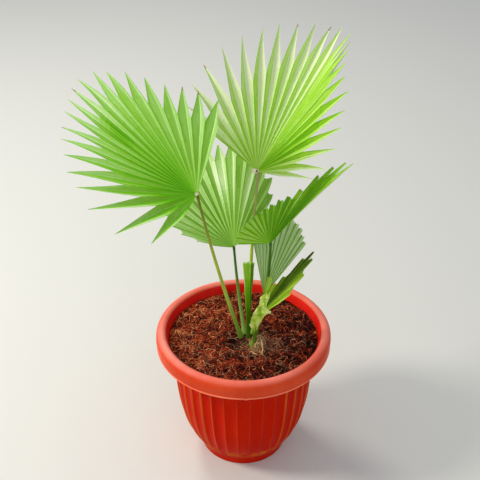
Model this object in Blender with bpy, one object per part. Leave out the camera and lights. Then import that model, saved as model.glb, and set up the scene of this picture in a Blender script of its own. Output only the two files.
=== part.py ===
# Potted Chinese fan palm: a young palm with six stalked fans, a cut spear leaf and a torn
# sheath, on a short stem in a fluted plastic pot filled with coir.
# Metres, +Z up. The origin is the centre of the pot's flat underside, and the front is -Y.

import math

import bmesh
import bpy
from mathutils import Vector

# Clearance between pieces that touch, and the angle in degrees from which an edge is sharp.
GAP = 0.0003
SHARP_ANGLE = 40

# Pot: foot, bowl with hollow flutes, shoulder under the rim, rolled rim, mouth.
POT_HEIGHT = 0.253
FOOT_RADIUS = 0.0765
FOOT_TOP_RADIUS = 0.0810
FOOT_HEIGHT = 0.0180
SHOULDER_RADIUS = 0.1253
SHOULDER_HEIGHT = 0.2225
BOWL_SWELL = 4.5
BOWL_SWELL_SHARE = 0.70
BOWL_ROWS = 6
BOWL_ROW_SPREAD = 1.25
RIM_RADIUS = 0.1525
RIM_BULGE_DROP = 0.0145
CROWN_RADIUS = 0.1413
LIP_RADIUS = 0.1502
LIP_DROP = 0.0300
RIM_ARC_STEPS = 3
CHANNEL_HEIGHT = 0.2320
CHANNEL_OUTER = 0.1470
CHANNEL_INNER = 0.1318
MOUTH_RADIUS = 0.1340
MOUTH_DROP = 0.0060
COLLAR_RADIUS = 0.1310
COLLAR_DROP = 0.0180
WALL_THICKNESS = 0.0035
FLOOR_THICKNESS = 0.0045
INNER_HEIGHTS = (0.120, 0.045)
FLUTES = 34
FLUTE_SIDES = 3
FLUTE_DEPTH = 0.0022
FLUTE_TOP = 0.2050
FLUTE_TOP_FADE = 0.0120
FLUTE_BOTTOM = 0.0290
FLUTE_BOTTOM_FADE = 0.0080

# Coir: a flat seat for the stem in the middle, falling in low lumps to the wall. The lumps
# are two sets of waves round the pot.
COIR_EDGE = 0.2335
COIR_SEAT = 0.2365
COIR_SEAT_RADIUS = 0.0380
COIR_LUMP = 0.0016
COIR_WAVES = (3, 2)
COIR_SIDES = 48
COIR_RINGS = 4
COIR_CLEARANCE = 0.0002

# Short fibrous stem that the stalks rise from.
STEM_CENTRE = (0.0120, -0.0110)
STEM_FOOT_RADIUS = 0.0280
STEM_TOP_RADIUS = 0.0255
STEM_TOP = 0.2460
STEM_SIDES = 20

# Fans. Each one is laid out on a plane that faces "facing": a turn from -Y and a tilt
# upward, in degrees. Its ribs run out from the hub, from the first side round to the other.
# Stations, evenly spaced over the ribs, give a rib's angle on the plane, anticlockwise from
# level right, its reach in metres, its lift off the plane in degrees, "split", the share of
# the reach where the leaflets part, and "cut", how blunt they end: 0 is a fine point and 1 is
# trimmed square. "curl" is how far the tips bend back, "sag" how far the longest leaflets
# sink under their weight, and "bow" how far the middle of the stalk lies off the straight line.
FANS = {
    "left": {
        "foot": (-0.0065, -0.0070), "hub": (-0.0720, -0.0500, 0.5500), "bow": (-0.0035, 0.0),
        "facing": (3, 30), "ribs": 20, "curl": 0.10, "sag": 0.0,
        "angle": (237, 194, 171, 157.5, 148.5, 140, 131, 121.5, 109, 92, 70),
        "reach": (0.0870, 0.156, 0.195, 0.222, 0.244, 0.258, 0.260, 0.228, 0.190, 0.172, 0.176),
        "lift": (16, 11, 6, 0, -4, -5, -4, 4, 14, 25, 36),
        "split": (0.50, 0.42, 0.58, 0.66, 0.70, 0.74, 0.77, 0.77, 0.75, 0.74, 0.72),
        "cut": (0, 0),
    },
    "tall": {
        "foot": (0.0095, 0.0060), "hub": (0.0210, 0.0200, 0.5520), "bow": (-0.0030, 0.0),
        "facing": (-1, 29), "ribs": 22, "curl": 0.08, "sag": 0.0,
        "angle": (141, 105, 76, 58, 51, 30, -12),
        "reach": (0.145, 0.208, 0.250, 0.272, 0.226, 0.176, 0.108),
        "lift": (14, 4, -4, -4, 16, 34, 44),
        "split": (0.60, 0.60, 0.70, 0.78, 0.78, 0.60, 0.45),
        "cut": (0, 0),
    },
    "middle": {
        "foot": (0.0010, 0.0040), "hub": (-0.0155, 0.0300, 0.4000), "bow": (-0.0015, 0.0),
        "facing": (0, 33), "ribs": 18, "curl": 0.08, "sag": 0.0,
        "angle": (176, 159, 132, 104, 78, 50),
        "reach": (0.026, 0.118, 0.168, 0.175, 0.172, 0.112),
        "lift": (24, 12, 0, -4, 12, 30),
        "split": (0.93, 0.86, 0.78, 0.88),
        "cut": (0.7, 0, 0),
    },
    "right": {
        "foot": (0.0215, -0.0040), "hub": (0.0425, -0.0200, 0.4405), "bow": (0.0060, 0.0),
        "facing": (-2, 33), "ribs": 16, "curl": 0.05, "sag": 1.6,
        "angle": (183, 160, 132, 105, 80, 61, 52.5, 48.5),
        "reach": (0.055, 0.054, 0.051, 0.053, 0.068, 0.101, 0.194, 0.248),
        "lift": (18, 10, 2, 0, 6, 18, 30, 40),
        "split": (0.90, 0.90, 0.80, 0.66),
        "cut": (0.8, 0.8, 0.5, 0),
    },
    "back": {
        "foot": (0.0180, 0.0040), "hub": (0.0353, 0.0120, 0.3120), "bow": (0.0, 0.0),
        "facing": (-2, 36), "ribs": 12, "curl": 0.04, "sag": 0.0,
        "angle": (103, 92, 82, 72, 62, 52),
        "reach": (0.090, 0.130, 0.150, 0.146, 0.128, 0.112),
        "lift": (16, 6, 0, -4, -6, -8),
        "split": (0.94, 0.94),
        "cut": (0.6, 0.6),
    },
    "front": {
        "foot": (0.0165, -0.0270), "hub": (0.0244, -0.0300, 0.3010), "bow": (0.0, 0.0),
        "facing": (-2, 20), "ribs": 8, "curl": 0.03, "sag": 0.0,
        "angle": (82, 68, 58, 53, 50, 45, 33),
        "reach": (0.074, 0.056, 0.086, 0.136, 0.132, 0.096, 0.044),
        "lift": (14, 9, 4, 4, 6, 12, 18),
        "split": (0.80, 0.80),
        "cut": (0.3, 0),
    },
}
BLADE_THICKNESS = 0.0030
PLEAT = 0.30
PLEAT_FULL = 0.060
BLADE_START = 0.0030
FUSED_ROWS = 3
FREE_ROWS = 2
POINT_WIDTH = 0.08
BLUNT_WIDTH = 0.60
NORMAL_STEP = 0.01

# Stalks, tapering from the stem to the hub and on under the blade as its costa.
STALK_FOOT_RADIUS = 0.0036
STALK_HUB_RADIUS = 0.0025
STALK_STEPS = 9
STALK_SIDES = 8
COSTA_SHARE = 0.36
COSTA_TIP_RADIUS = 0.0010
COSTA_STEPS = 3
COSTA_DROP = 0.0004

# Cut spear leaf and torn sheath: folded straps as (x, y, z, width, fold) stations.
SPEAR = (
    (0.0085, -0.0130, STEM_TOP + GAP, 0.0070, 0.0020),
    (0.0085, -0.0150, 0.2900, 0.0085, 0.0030),
    (0.0080, -0.0175, 0.3450, 0.0125, 0.0040),
    (0.0082, -0.0200, 0.4030, 0.0200, 0.0035),
)
SHEATH = (
    (0.0165, -0.0335, STEM_TOP + GAP, 0.0040, 0.0010),
    (0.0195, -0.0400, 0.2890, 0.0110, 0.0030),
    (0.0240, -0.0440, 0.3190, 0.0200, 0.0055),
    (0.0310, -0.0455, 0.3390, 0.0120, 0.0030),
    (0.0375, -0.0460, 0.3575, 0.0130, 0.0030),
)
STRAP_THICKNESS = 0.0018
STRAP_ROWS = 8

# Base colour and roughness of each finish.
FINISHES = {
    "pot_plastic": ((0.520, 0.060, 0.018), 0.38),
    "coir": ((0.085, 0.026, 0.014), 0.95),
    "stem_fibre": ((0.270, 0.160, 0.075), 0.90),
    "stalk_green": ((0.240, 0.330, 0.055), 0.50),
    "leaf_green": ((0.130, 0.420, 0.030), 0.45),
    "sheath_green": ((0.500, 0.680, 0.130), 0.55),
}


def clear_scene():
    for item in list(bpy.data.objects):
        bpy.data.objects.remove(item, do_unlink=True)


def make_material(name):
    colour, roughness = FINISHES[name]
    material = bpy.data.materials.new(name)
    material.use_nodes = True
    shader = material.node_tree.nodes["Principled BSDF"]
    shader.inputs["Base Color"].default_value = (*colour, 1.0)
    shader.inputs["Roughness"].default_value = roughness
    shader.inputs["Metallic"].default_value = 0.0
    material.diffuse_color = (*colour, 1.0)
    return material


def make_mesh(name, points, faces):
    """Mesh with its faces pointing out, smooth but for its sharp edges."""
    mesh = bpy.data.meshes.new(name)
    mesh.from_pydata([tuple(point) for point in points], [], faces)
    shape = bmesh.new()
    shape.from_mesh(mesh)
    bmesh.ops.recalc_face_normals(shape, faces=shape.faces)
    shape.to_mesh(mesh)
    shape.free()
    mesh.shade_smooth()
    mesh.set_sharp_from_angle(angle=math.radians(SHARP_ANGLE))
    return mesh


def add_object(name, points, faces, material):
    mesh = make_mesh(name, points, faces)
    mesh.materials.append(material)
    piece = bpy.data.objects.new(name, mesh)
    bpy.context.scene.collection.objects.link(piece)
    return piece


def along(values, share):
    """Smooth value at a share, 0 to 1, of the way through evenly spaced stations."""
    last = len(values) - 1
    place = min(max(share, 0.0), 1.0) * last
    start = min(int(place), last - 1)
    u = place - start
    here, after = values[start], values[start + 1]
    before = values[start - 1] if start > 0 else 2 * here - after
    beyond = values[start + 2] if start + 2 <= last else 2 * after - here
    slope = after - before
    bend = 2 * before - 5 * here + 4 * after - beyond
    twist = 3 * here - before - 3 * after + beyond
    return 0.5 * (2 * here + slope * u + bend * u ** 2 + twist * u ** 3)


def circle(radius, height, sides):
    """Points of a level circle about the pot's axis."""
    points = []
    for side in range(sides):
        turn = 2 * math.pi * side / sides
        points.append((radius * math.cos(turn), radius * math.sin(turn), height))
    return points


def ring_faces(rows, sides):
    """Quads between closed rings of points, row after row."""
    faces = []
    for row in range(rows - 1):
        low, high = row * sides, (row + 1) * sides
        for side in range(sides):
            step = (side + 1) % sides
            faces.append((low + side, low + step, high + step, high + side))
    return faces


def capped_faces(rows, sides):
    """Ring quads with a flat face on the first and the last ring."""
    last = (rows - 1) * sides
    faces = ring_faces(rows, sides)
    faces.append(tuple(range(sides)))
    faces.append(tuple(range(last, last + sides)))
    return faces


# Pot

def bowl_radius(height):
    """Outer radius of the bowl: full just above the foot, easing up to the shoulder."""
    share = (height - FOOT_HEIGHT) / (SHOULDER_HEIGHT - FOOT_HEIGHT)
    swell = BOWL_SWELL_SHARE * (1 - (1 - share) ** BOWL_SWELL)
    spread = swell + (1 - BOWL_SWELL_SHARE) * share
    return FOOT_TOP_RADIUS + (SHOULDER_RADIUS - FOOT_TOP_RADIUS) * spread


def flute_depth(height):
    """Depth of the flutes at a height: full down the bowl, none at its ends."""
    from_top = (FLUTE_TOP - height) / FLUTE_TOP_FADE
    from_bottom = (height - FLUTE_BOTTOM) / FLUTE_BOTTOM_FADE
    return FLUTE_DEPTH * min(max(min(from_top, from_bottom), 0.0), 1.0)


def bowl_profile():
    """Foot and bowl as (radius, height), from the ground to the shoulder."""
    profile = [(FOOT_RADIUS, 0.0)]
    for row in range(BOWL_ROWS + 1):
        share = (row / BOWL_ROWS) ** BOWL_ROW_SPREAD
        height = FOOT_HEIGHT + (SHOULDER_HEIGHT - FOOT_HEIGHT) * share
        profile.append((bowl_radius(height), height))
    return profile


def rim_profile():
    """Channel under the rim, its lip, the rolled outside and the crown."""
    profile = [(CHANNEL_INNER, CHANNEL_HEIGHT), (CHANNEL_OUTER, CHANNEL_HEIGHT)]
    profile.append((LIP_RADIUS, POT_HEIGHT - LIP_DROP))
    for step in range(RIM_ARC_STEPS + 1):
        turn = math.pi / 2 * step / RIM_ARC_STEPS
        radius = CROWN_RADIUS + (RIM_RADIUS - CROWN_RADIUS) * math.cos(turn)
        profile.append((radius, POT_HEIGHT - RIM_BULGE_DROP * (1 - math.sin(turn))))
    return profile


def inner_profile():
    """Inside of the wall, from the mouth down to the floor."""
    profile = [(MOUTH_RADIUS, POT_HEIGHT - MOUTH_DROP)]
    profile.append((COLLAR_RADIUS, POT_HEIGHT - COLLAR_DROP))
    profile.append((SHOULDER_RADIUS - WALL_THICKNESS, SHOULDER_HEIGHT))
    for height in INNER_HEIGHTS:
        profile.append((bowl_radius(height) - WALL_THICKNESS - FLUTE_DEPTH, height))
    profile.append((FOOT_RADIUS - WALL_THICKNESS, FLOOR_THICKNESS))
    return profile


def add_pot(material):
    sides = FLUTES * FLUTE_SIDES
    profile = bowl_profile() + rim_profile() + inner_profile()
    fluted_rows = len(bowl_profile())
    points = []
    for row, (radius, height) in enumerate(profile):
        depth = flute_depth(height) if row < fluted_rows else 0.0
        for side in range(sides):
            turn = 2 * math.pi * side / sides
            reach = radius - depth * abs(math.sin(FLUTES * turn / 2))
            points.append((reach * math.cos(turn), reach * math.sin(turn), height))
    return add_object("pot", points, capped_faces(len(profile), sides), material)


# Coir

def coir_height(radius, edge, turn):
    """Top of the coir: level seat in the middle, then falling in broad lumps."""
    share = max(radius - COIR_SEAT_RADIUS, 0.0) / (edge - COIR_SEAT_RADIUS)
    lump = math.sin(COIR_WAVES[0] * turn) * math.cos(COIR_WAVES[1] * turn - 4 * share)
    swell = 4 * share * (1 - share)
    return COIR_SEAT + (COIR_EDGE - COIR_SEAT) * share + COIR_LUMP * lump * swell


def coir_edge_radius(wall):
    """Radius of the coir at its edge, just under the collar of the wall."""
    (collar, top), (shoulder, bottom) = wall[1], wall[2]
    share = (COIR_EDGE - bottom) / (top - bottom)
    return shoulder + (collar - shoulder) * share - GAP - COIR_CLEARANCE


def add_coir(material):
    wall = inner_profile()
    points = []
    for radius, height in reversed(wall[2:]):
        points.extend(circle(radius - GAP - COIR_CLEARANCE, height + GAP, COIR_SIDES))
    edge = coir_edge_radius(wall)
    for ring in range(COIR_RINGS + 1):
        radius = edge + (COIR_SEAT_RADIUS - edge) * ring / COIR_RINGS
        for x, y, _ in circle(radius, 0.0, COIR_SIDES):
            points.append((x, y, coir_height(radius, edge, math.atan2(y, x))))
    rows = len(points) // COIR_SIDES
    return add_object("coir_fill", points, capped_faces(rows, COIR_SIDES), material)


# Stem

def add_stem(material):
    points = []
    rings = ((COIR_SEAT + GAP, STEM_FOOT_RADIUS), (STEM_TOP, STEM_TOP_RADIUS))
    for height, radius in rings:
        for x, y, z in circle(radius, height, STEM_SIDES):
            points.append((x + STEM_CENTRE[0], y + STEM_CENTRE[1], z))
    return add_object("stem_base", points, capped_faces(len(rings), STEM_SIDES), material)


def tube_points(path, radii, sides):
    """Rings of points round a path, square to it, one radius for each path point."""
    points = []
    across = Vector((1, 0, 0))
    for index, centre in enumerate(path):
        ahead = path[min(index + 1, len(path) - 1)]
        behind = path[max(index - 1, 0)]
        way = (ahead - behind).normalized()
        across = (across - way * across.dot(way)).normalized()
        rise = way.cross(across)
        for side in range(sides):
            turn = 2 * math.pi * (side + 0.5) / sides
            offset = across * math.cos(turn) + rise * math.sin(turn)
            points.append(centre + offset * radii[index])
    return points


# Fans

def fan_axes(fan):
    """Level right, up and outward axes of the plane that a fan is laid out on."""
    turn, tilt = (math.radians(angle) for angle in fan["facing"])
    right = Vector((math.cos(turn), math.sin(turn), 0.0))
    out = Vector((
        math.sin(turn) * math.cos(tilt), -math.cos(turn) * math.cos(tilt), math.sin(tilt)))
    return right, out.cross(right), out


def rib_way(fan, share):
    """Direction of the rib at a share of the way round the fan."""
    right, up, out = fan_axes(fan)
    angle = math.radians(along(fan["angle"], share))
    lift = math.radians(along(fan["lift"], share))
    flat = right * math.cos(angle) + up * math.sin(angle)
    return flat * math.cos(lift) + out * math.sin(lift)


def rib_point(fan, share, radius):
    """Point on a rib at a distance from the hub, bent back and sagging towards its tip."""
    out = fan_axes(fan)[2]
    reach = along(fan["reach"], share)
    bend = fan["curl"] * reach * (radius / reach) ** 2
    sag = Vector((0.0, 0.0, fan["sag"] * reach ** 3 * (radius / reach) ** 2))
    return Vector(fan["hub"]) + rib_way(fan, share) * radius - out * bend - sag


def blade_normal(fan, share):
    """Direction square to the smooth fan at a rib, on its upper side."""
    sweep = rib_way(fan, share - NORMAL_STEP) - rib_way(fan, share + NORMAL_STEP)
    return rib_way(fan, share).cross(sweep).normalized()


def fan_surface(fan):
    """Pleated sheet of a fan: points, quads and the direction to thicken each point in.

    Columns run edge, rib, edge, rib, edge; rows run out from the hub to the split, and each
    leaflet then has rows of its own that narrow to its tip.
    """
    points, faces, normals = [], [], []
    columns = 2 * fan["ribs"] + 1
    pitch = 1 / (columns - 1)
    shares = [column * pitch for column in range(columns)]
    splits = [along(fan["reach"], share) * along(fan["split"], share) for share in shares]
    for row in range(FUSED_ROWS + 1):
        for column, share in enumerate(shares):
            radius = BLADE_START + (splits[column] - BLADE_START) * row / FUSED_ROWS
            spread = rib_way(fan, share).angle(rib_way(fan, abs(share - pitch)))
            height = PLEAT * min(radius / PLEAT_FULL, 1.0) * radius * spread / 2
            if column % 2 == 0:
                height = -height
            normal = blade_normal(fan, share)
            points.append(rib_point(fan, share, radius) + normal * height)
            normals.append(normal)
    for row in range(FUSED_ROWS):
        low, high = row * columns, (row + 1) * columns
        for column in range(columns - 1):
            faces.append((low + column, low + column + 1, high + column + 1, high + column))
    for leaflet in range(fan["ribs"]):
        add_leaflet_rows(fan, leaflet, columns, splits, points, faces, normals)
    return points, faces, normals


def add_leaflet_rows(fan, leaflet, columns, splits, points, faces, normals):
    """Free part of one leaflet, from the split to its tip."""
    rib = 2 * leaflet + 1
    share = rib / (columns - 1)
    normal = blade_normal(fan, share)
    start = FUSED_ROWS * columns + rib
    sides = [points[start + side] - points[start] for side in (-1, 1)]
    blunt = min(max(along(fan["cut"], share), 0.0), 1.0)
    end_width = POINT_WIDTH + (BLUNT_WIDTH - POINT_WIDTH) * blunt
    reach = along(fan["reach"], share)
    low = (start - 1, start, start + 1)
    for row in range(1, FREE_ROWS + 1):
        out = row / FREE_ROWS
        width = 1 + (end_width - 1) * out
        radius = splits[rib] + (reach - splits[rib]) * out
        lifted = points[start] - rib_point(fan, share, splits[rib])
        centre = rib_point(fan, share, radius) + lifted * width
        high = (len(points), len(points) + 1, len(points) + 2)
        points.extend((centre + sides[0] * width, centre, centre + sides[1] * width))
        normals.extend((normal,) * 3)
        faces.append((low[0], low[1], high[1], high[0]))
        faces.append((low[1], low[2], high[2], high[1]))
        low = high


def thicken(points, faces, normals, thickness):
    """Closed plate from an open sheet: both sides and a wall round every open edge."""
    count = len(points)
    half = thickness / 2
    solid = [point + normal * half for point, normal in zip(points, normals)]
    solid += [point - normal * half for point, normal in zip(points, normals)]
    shell = list(faces)
    shell += [tuple(count + corner for corner in reversed(face)) for face in faces]
    edges = {}
    for face in faces:
        for index, corner in enumerate(face):
            edge = (corner, face[(index + 1) % len(face)])
            edges[edge] = edges.get(edge, 0) + 1
    for first, second in edges:
        if (second, first) not in edges:
            shell.append((second, first, count + first, count + second))
    return solid, shell


def stalk_path(fan):
    """Centre line of a stalk, from the stem to the hub and on under the blade's middle."""
    foot = Vector((*fan["foot"], STEM_TOP + GAP))
    middle = 0.5
    seat = BLADE_THICKNESS / 2 + STALK_HUB_RADIUS + GAP
    hub = rib_point(fan, middle, 0.0) - blade_normal(fan, middle) * seat
    bow = Vector((*fan["bow"], 0.0))
    path = []
    for step in range(STALK_STEPS):
        share = step / STALK_STEPS
        path.append(foot.lerp(hub, share) + bow * (4 * share * (1 - share)))
    reach = along(fan["reach"], middle) * COSTA_SHARE
    for step in range(COSTA_STEPS + 1):
        share = step / COSTA_STEPS
        sink = blade_normal(fan, middle) * (seat + COSTA_DROP * share)
        path.append(rib_point(fan, middle, reach * share) - sink)
    return path


def add_stalk(name, fan, material):
    path = stalk_path(fan)
    radii = []
    for step in range(len(path)):
        if step <= STALK_STEPS:
            share = step / STALK_STEPS
            radii.append(STALK_FOOT_RADIUS + (STALK_HUB_RADIUS - STALK_FOOT_RADIUS) * share)
        else:
            share = (step - STALK_STEPS) / COSTA_STEPS
            radii.append(STALK_HUB_RADIUS + (COSTA_TIP_RADIUS - STALK_HUB_RADIUS) * share)
    points = tube_points(path, radii, STALK_SIDES)
    for side in range(STALK_SIDES):
        points[side].z = STEM_TOP + GAP
    return add_object(name, points, capped_faces(len(path), STALK_SIDES), material)


def add_blade(name, fan, material):
    points, faces, normals = fan_surface(fan)
    solid, shell = thicken(points, faces, normals, BLADE_THICKNESS)
    return add_object(name, solid, shell, material)


# Straps

def add_strap(name, stations, material):
    """Thin folded strap through its stations: edge, fold line, edge."""
    points, faces, normals = [], [], []
    for row in range(STRAP_ROWS + 1):
        share = row / STRAP_ROWS
        x, y, z, width, fold = (
            along([station[axis] for station in stations], share) for axis in range(5))
        centre = Vector((x, y, z))
        points.append(centre + Vector((-width / 2, 0.0, 0.0)))
        points.append(centre + Vector((0.0, fold, 0.0)))
        points.append(centre + Vector((width / 2, 0.0, 0.0)))
        normals.extend((Vector((0.0, -1.0, 0.0)),) * 3)
    for row in range(STRAP_ROWS):
        low = 3 * row
        for column in (0, 1):
            corner = low + column
            faces.append((corner, corner + 1, corner + 4, corner + 3))
    solid, shell = thicken(points, faces, normals, STRAP_THICKNESS)
    return add_object(name, solid, shell, material)


def build():
    clear_scene()
    finish = {name: make_material(name) for name in FINISHES}
    add_pot(finish["pot_plastic"])
    add_coir(finish["coir"])
    add_stem(finish["stem_fibre"])
    for name, fan in FANS.items():
        add_stalk("stalk_" + name, fan, finish["stalk_green"])
        add_blade("fan_" + name, fan, finish["leaf_green"])
    add_strap("spear_leaf", SPEAR, finish["leaf_green"])
    add_strap("torn_sheath", SHEATH, finish["sheath_green"])


build()
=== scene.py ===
# Potted fan palm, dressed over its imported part: six pleated fans on slender stalks, a cut
# spear leaf and a torn sheath above a fibrous stem, in a fluted pot filled with coir.
# Metres, +Z up. The front is -Y.

import math
import random

import bpy
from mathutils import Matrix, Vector, noise


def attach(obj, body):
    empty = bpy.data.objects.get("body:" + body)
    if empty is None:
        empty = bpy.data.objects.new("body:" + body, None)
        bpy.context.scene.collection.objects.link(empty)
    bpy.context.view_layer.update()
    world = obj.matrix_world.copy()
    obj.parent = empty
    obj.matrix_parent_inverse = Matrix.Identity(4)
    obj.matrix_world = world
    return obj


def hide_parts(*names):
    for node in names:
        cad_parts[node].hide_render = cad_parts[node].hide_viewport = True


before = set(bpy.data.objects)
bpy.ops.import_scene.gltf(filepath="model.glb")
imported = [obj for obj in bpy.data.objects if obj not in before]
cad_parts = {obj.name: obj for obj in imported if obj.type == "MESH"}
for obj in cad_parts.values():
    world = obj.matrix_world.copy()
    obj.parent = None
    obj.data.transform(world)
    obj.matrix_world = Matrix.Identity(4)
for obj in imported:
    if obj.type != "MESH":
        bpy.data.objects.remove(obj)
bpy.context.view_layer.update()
gap = 0.0003  # clearance that the part keeps between pieces
nearly = 0.0001  # places closer than this count as the same
stemTop = 0.2460  # where the part's stalks are seated
print("part loaded")


# View and light

viewSettings = {
    "cameraPlace": (-0.006, -1.375, 1.331),
    "cameraPitch": 56.9,
    "lens": 75,
    "sensorWidth": 36,
    "skyColour": (0.92, 0.96, 1.0),
    "skyStrength": 0.50,
    "floorColour": (0.66, 0.66, 0.65),
    "floorHalf": 6.0,
    # name: place, target, width, power, colour
    "lamps": {
        "keyLamp": ((-2.1, -0.2, 1.9), (0.0, 0.0, 0.35), 0.7, 46, (1.0, 0.95, 0.80)),
        "frontLamp": ((0.3, -2.4, 2.2), (0.0, 0.0, 0.35), 2.2, 15, (1.0, 0.98, 0.92)),
        "backLamp": ((-1.0, 1.6, 2.3), (0.0, 0.0, 0.3), 0.8, 27, (1.0, 0.97, 0.86)),
    },
}


def aimAt(thing, target):
    way = Vector(target) - thing.location
    thing.rotation_euler = way.to_track_quat("-Z", "Y").to_euler()


def addCamera():
    data = bpy.data.cameras.new("camera")
    data.lens = viewSettings["lens"]
    data.sensor_width = viewSettings["sensorWidth"]
    camera = bpy.data.objects.new("camera", data)
    camera.location = viewSettings["cameraPlace"]
    camera.rotation_euler = (math.radians(viewSettings["cameraPitch"]), 0.0, 0.0)
    bpy.context.scene.collection.objects.link(camera)
    bpy.context.scene.camera = camera


def addLamps():
    for name, (place, target, width, power, colour) in viewSettings["lamps"].items():
        data = bpy.data.lights.new(name, "AREA")
        data.shape = "DISK"
        data.size = width
        data.energy = power
        data.color = colour
        lamp = bpy.data.objects.new(name, data)
        lamp.location = place
        aimAt(lamp, target)
        bpy.context.scene.collection.objects.link(lamp)


def addSky():
    world = bpy.data.worlds.new("sky")
    world.use_nodes = True
    back = world.node_tree.nodes["Background"]
    back.inputs["Color"].default_value = (*viewSettings["skyColour"], 1.0)
    back.inputs["Strength"].default_value = viewSettings["skyStrength"]
    bpy.context.scene.world = world
    bpy.context.scene.view_settings.view_transform = "Standard"


addCamera()
addLamps()
addSky()
print("camera and lights placed")


# Shader parts that several finishes share

def screenColour(red, green, blue):
    # a colour as a screen shows it, 0 to 255, turned into the shader's own scale
    parts = []
    for part in (red, green, blue):
        share = part / 255
        parts.append(share / 12.92 if share <= 0.04045 else ((share + 0.055) / 1.055) ** 2.4)
    return (*parts, 1.0)


def feed(tree, sockets, values):
    # gives each socket its value, or a link from the output that drives it
    for name, value in values.items():
        if isinstance(value, bpy.types.NodeSocket):
            tree.links.new(value, sockets[name])
        else:
            sockets[name].default_value = value


def addNode(tree, kind, inputs=None, **options):
    # new shader node with its options set and its inputs fed; returns its outputs
    node = tree.nodes.new("ShaderNode" + kind)
    for option, value in options.items():
        setattr(node, option, value)
    feed(tree, node.inputs, inputs or {})
    return node.outputs


def placeGroup(tree, group, inputs):
    return addNode(tree, "Group", inputs, node_tree=group)


def mixColours(tree, share, first, second):
    return addNode(tree, "Mix", {0: share, 6: first, 7: second}, data_type="RGBA")[2]


def addBump(tree, height, strength, distance):
    values = {"Height": height, "Strength": strength, "Distance": distance}
    return addNode(tree, "Bump", values)["Normal"]


def startGroup(name, inputs, outputs):
    # empty group, with the sockets to read from and the sockets to feed inside it
    group = bpy.data.node_groups.new(name, "ShaderNodeTree")
    kinds = {1: "NodeSocketFloat", 3: "NodeSocketVector", 4: "NodeSocketColor"}
    for socketName, value in inputs.items():
        size = 1 if isinstance(value, float) else len(value)
        socket = group.interface.new_socket(
            name=socketName, in_out="INPUT", socket_type=kinds[size])
        socket.default_value = value
    for socketName in outputs:
        size = 4 if socketName == "Colour" else 1
        group.interface.new_socket(name=socketName, in_out="OUTPUT", socket_type=kinds[size])
    given = group.nodes.new("NodeGroupInput").outputs
    wanted = group.nodes.new("NodeGroupOutput").inputs
    return group, given, wanted


def makeGrainGroup():
    # two colours mottled together, with the same pattern as a height and a roughness
    group, given, wanted = startGroup(
        "mottledGrain",
        {"Main Colour": (0.5, 0.5, 0.5, 1.0), "Second Colour": (0.3, 0.3, 0.3, 1.0),
         "Scale": 40.0, "Stretch": (1.0, 1.0, 1.0), "Low": 0.35, "High": 0.65,
         "Smooth": 0.4, "Rough": 0.6},
        ("Colour", "Height", "Roughness"))
    place = addNode(group, "TexCoord")["Object"]
    stretched = addNode(group, "VectorMath", {0: place, 1: given["Stretch"]},
                        operation="MULTIPLY")["Vector"]
    cloud = addNode(group, "TexNoise", {
        "Vector": stretched, "Scale": given["Scale"], "Detail": 6.0, "Roughness": 0.62})["Fac"]
    pattern = addNode(group, "MapRange", {
        "Value": cloud, "From Min": given["Low"], "From Max": given["High"]})["Result"]
    shine = addNode(group, "MapRange", {
        "Value": pattern, "To Min": given["Smooth"], "To Max": given["Rough"]})["Result"]
    colour = mixColours(group, pattern, given["Main Colour"], given["Second Colour"])
    feed(group, wanted, {"Colour": colour, "Height": pattern, "Roughness": shine})
    return group


def makeBandGroup():
    # soft patchy band round one height, such as dust or wear that keeps to one level
    group, given, wanted = startGroup(
        "patchyBand",
        {"Colour": (0.5, 0.5, 0.5, 1.0), "Band Colour": (0.3, 0.2, 0.1, 1.0),
         "Middle": 0.04, "Half Width": 0.01, "Amount": 0.7, "Evenness": 0.0,
         "Patch Scale": 60.0},
        ("Colour", "Mask"))
    place = addNode(group, "TexCoord")["Object"]
    height = addNode(group, "SeparateXYZ", {0: place})["Z"]
    shift = addNode(group, "Math", {0: height, 1: given["Middle"]}, operation="SUBTRACT")[0]
    away = addNode(group, "Math", {0: shift}, operation="ABSOLUTE")[0]
    near = addNode(group, "MapRange", {
        "Value": away, "From Min": 0.0, "From Max": given["Half Width"],
        "To Min": 1.0, "To Max": 0.0}, interpolation_type="SMOOTHSTEP")["Result"]
    patches = addNode(group, "TexNoise", {
        "Vector": place, "Scale": given["Patch Scale"], "Detail": 5.0})["Fac"]
    broken = addNode(group, "MapRange", {
        "Value": patches, "From Min": 0.36, "From Max": 0.60,
        "To Min": given["Evenness"]})["Result"]
    both = addNode(group, "Math", {0: near, 1: broken}, operation="MULTIPLY")[0]
    mask = addNode(group, "Math", {0: both, 1: given["Amount"]}, operation="MULTIPLY")[0]
    colour = mixColours(group, mask, given["Colour"], given["Band Colour"])
    feed(group, wanted, {"Colour": colour, "Mask": mask})
    return group


def makeVeinGroup():
    # fine veins along a leaf, read from the blade's own layout, as height and roughness
    group, given, wanted = startGroup(
        "leafVeins", {"Veins": 9.0, "Smooth": 0.36, "Rough": 0.52}, ("Height", "Roughness"))
    layout = addNode(group, "UVMap", uv_map="bladeLayout")["UV"]
    across = addNode(group, "SeparateXYZ", {0: layout})["X"]
    turn = addNode(group, "Math", {0: across, 1: given["Veins"]}, operation="MULTIPLY")[0]
    wave = addNode(group, "Math", {0: turn, 1: 0.5}, operation="PINGPONG")[0]
    place = addNode(group, "TexCoord")["Object"]
    patches = addNode(group, "TexNoise", {"Vector": place, "Scale": 55.0, "Detail": 4.0})["Fac"]
    shine = addNode(group, "MapRange", {
        "Value": patches, "From Min": 0.3, "From Max": 0.7,
        "To Min": given["Smooth"], "To Max": given["Rough"]})["Result"]
    feed(group, wanted, {"Height": wave, "Roughness": shine})
    return group


grainGroup = makeGrainGroup()
bandGroup = makeBandGroup()
veinGroup = makeVeinGroup()


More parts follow.
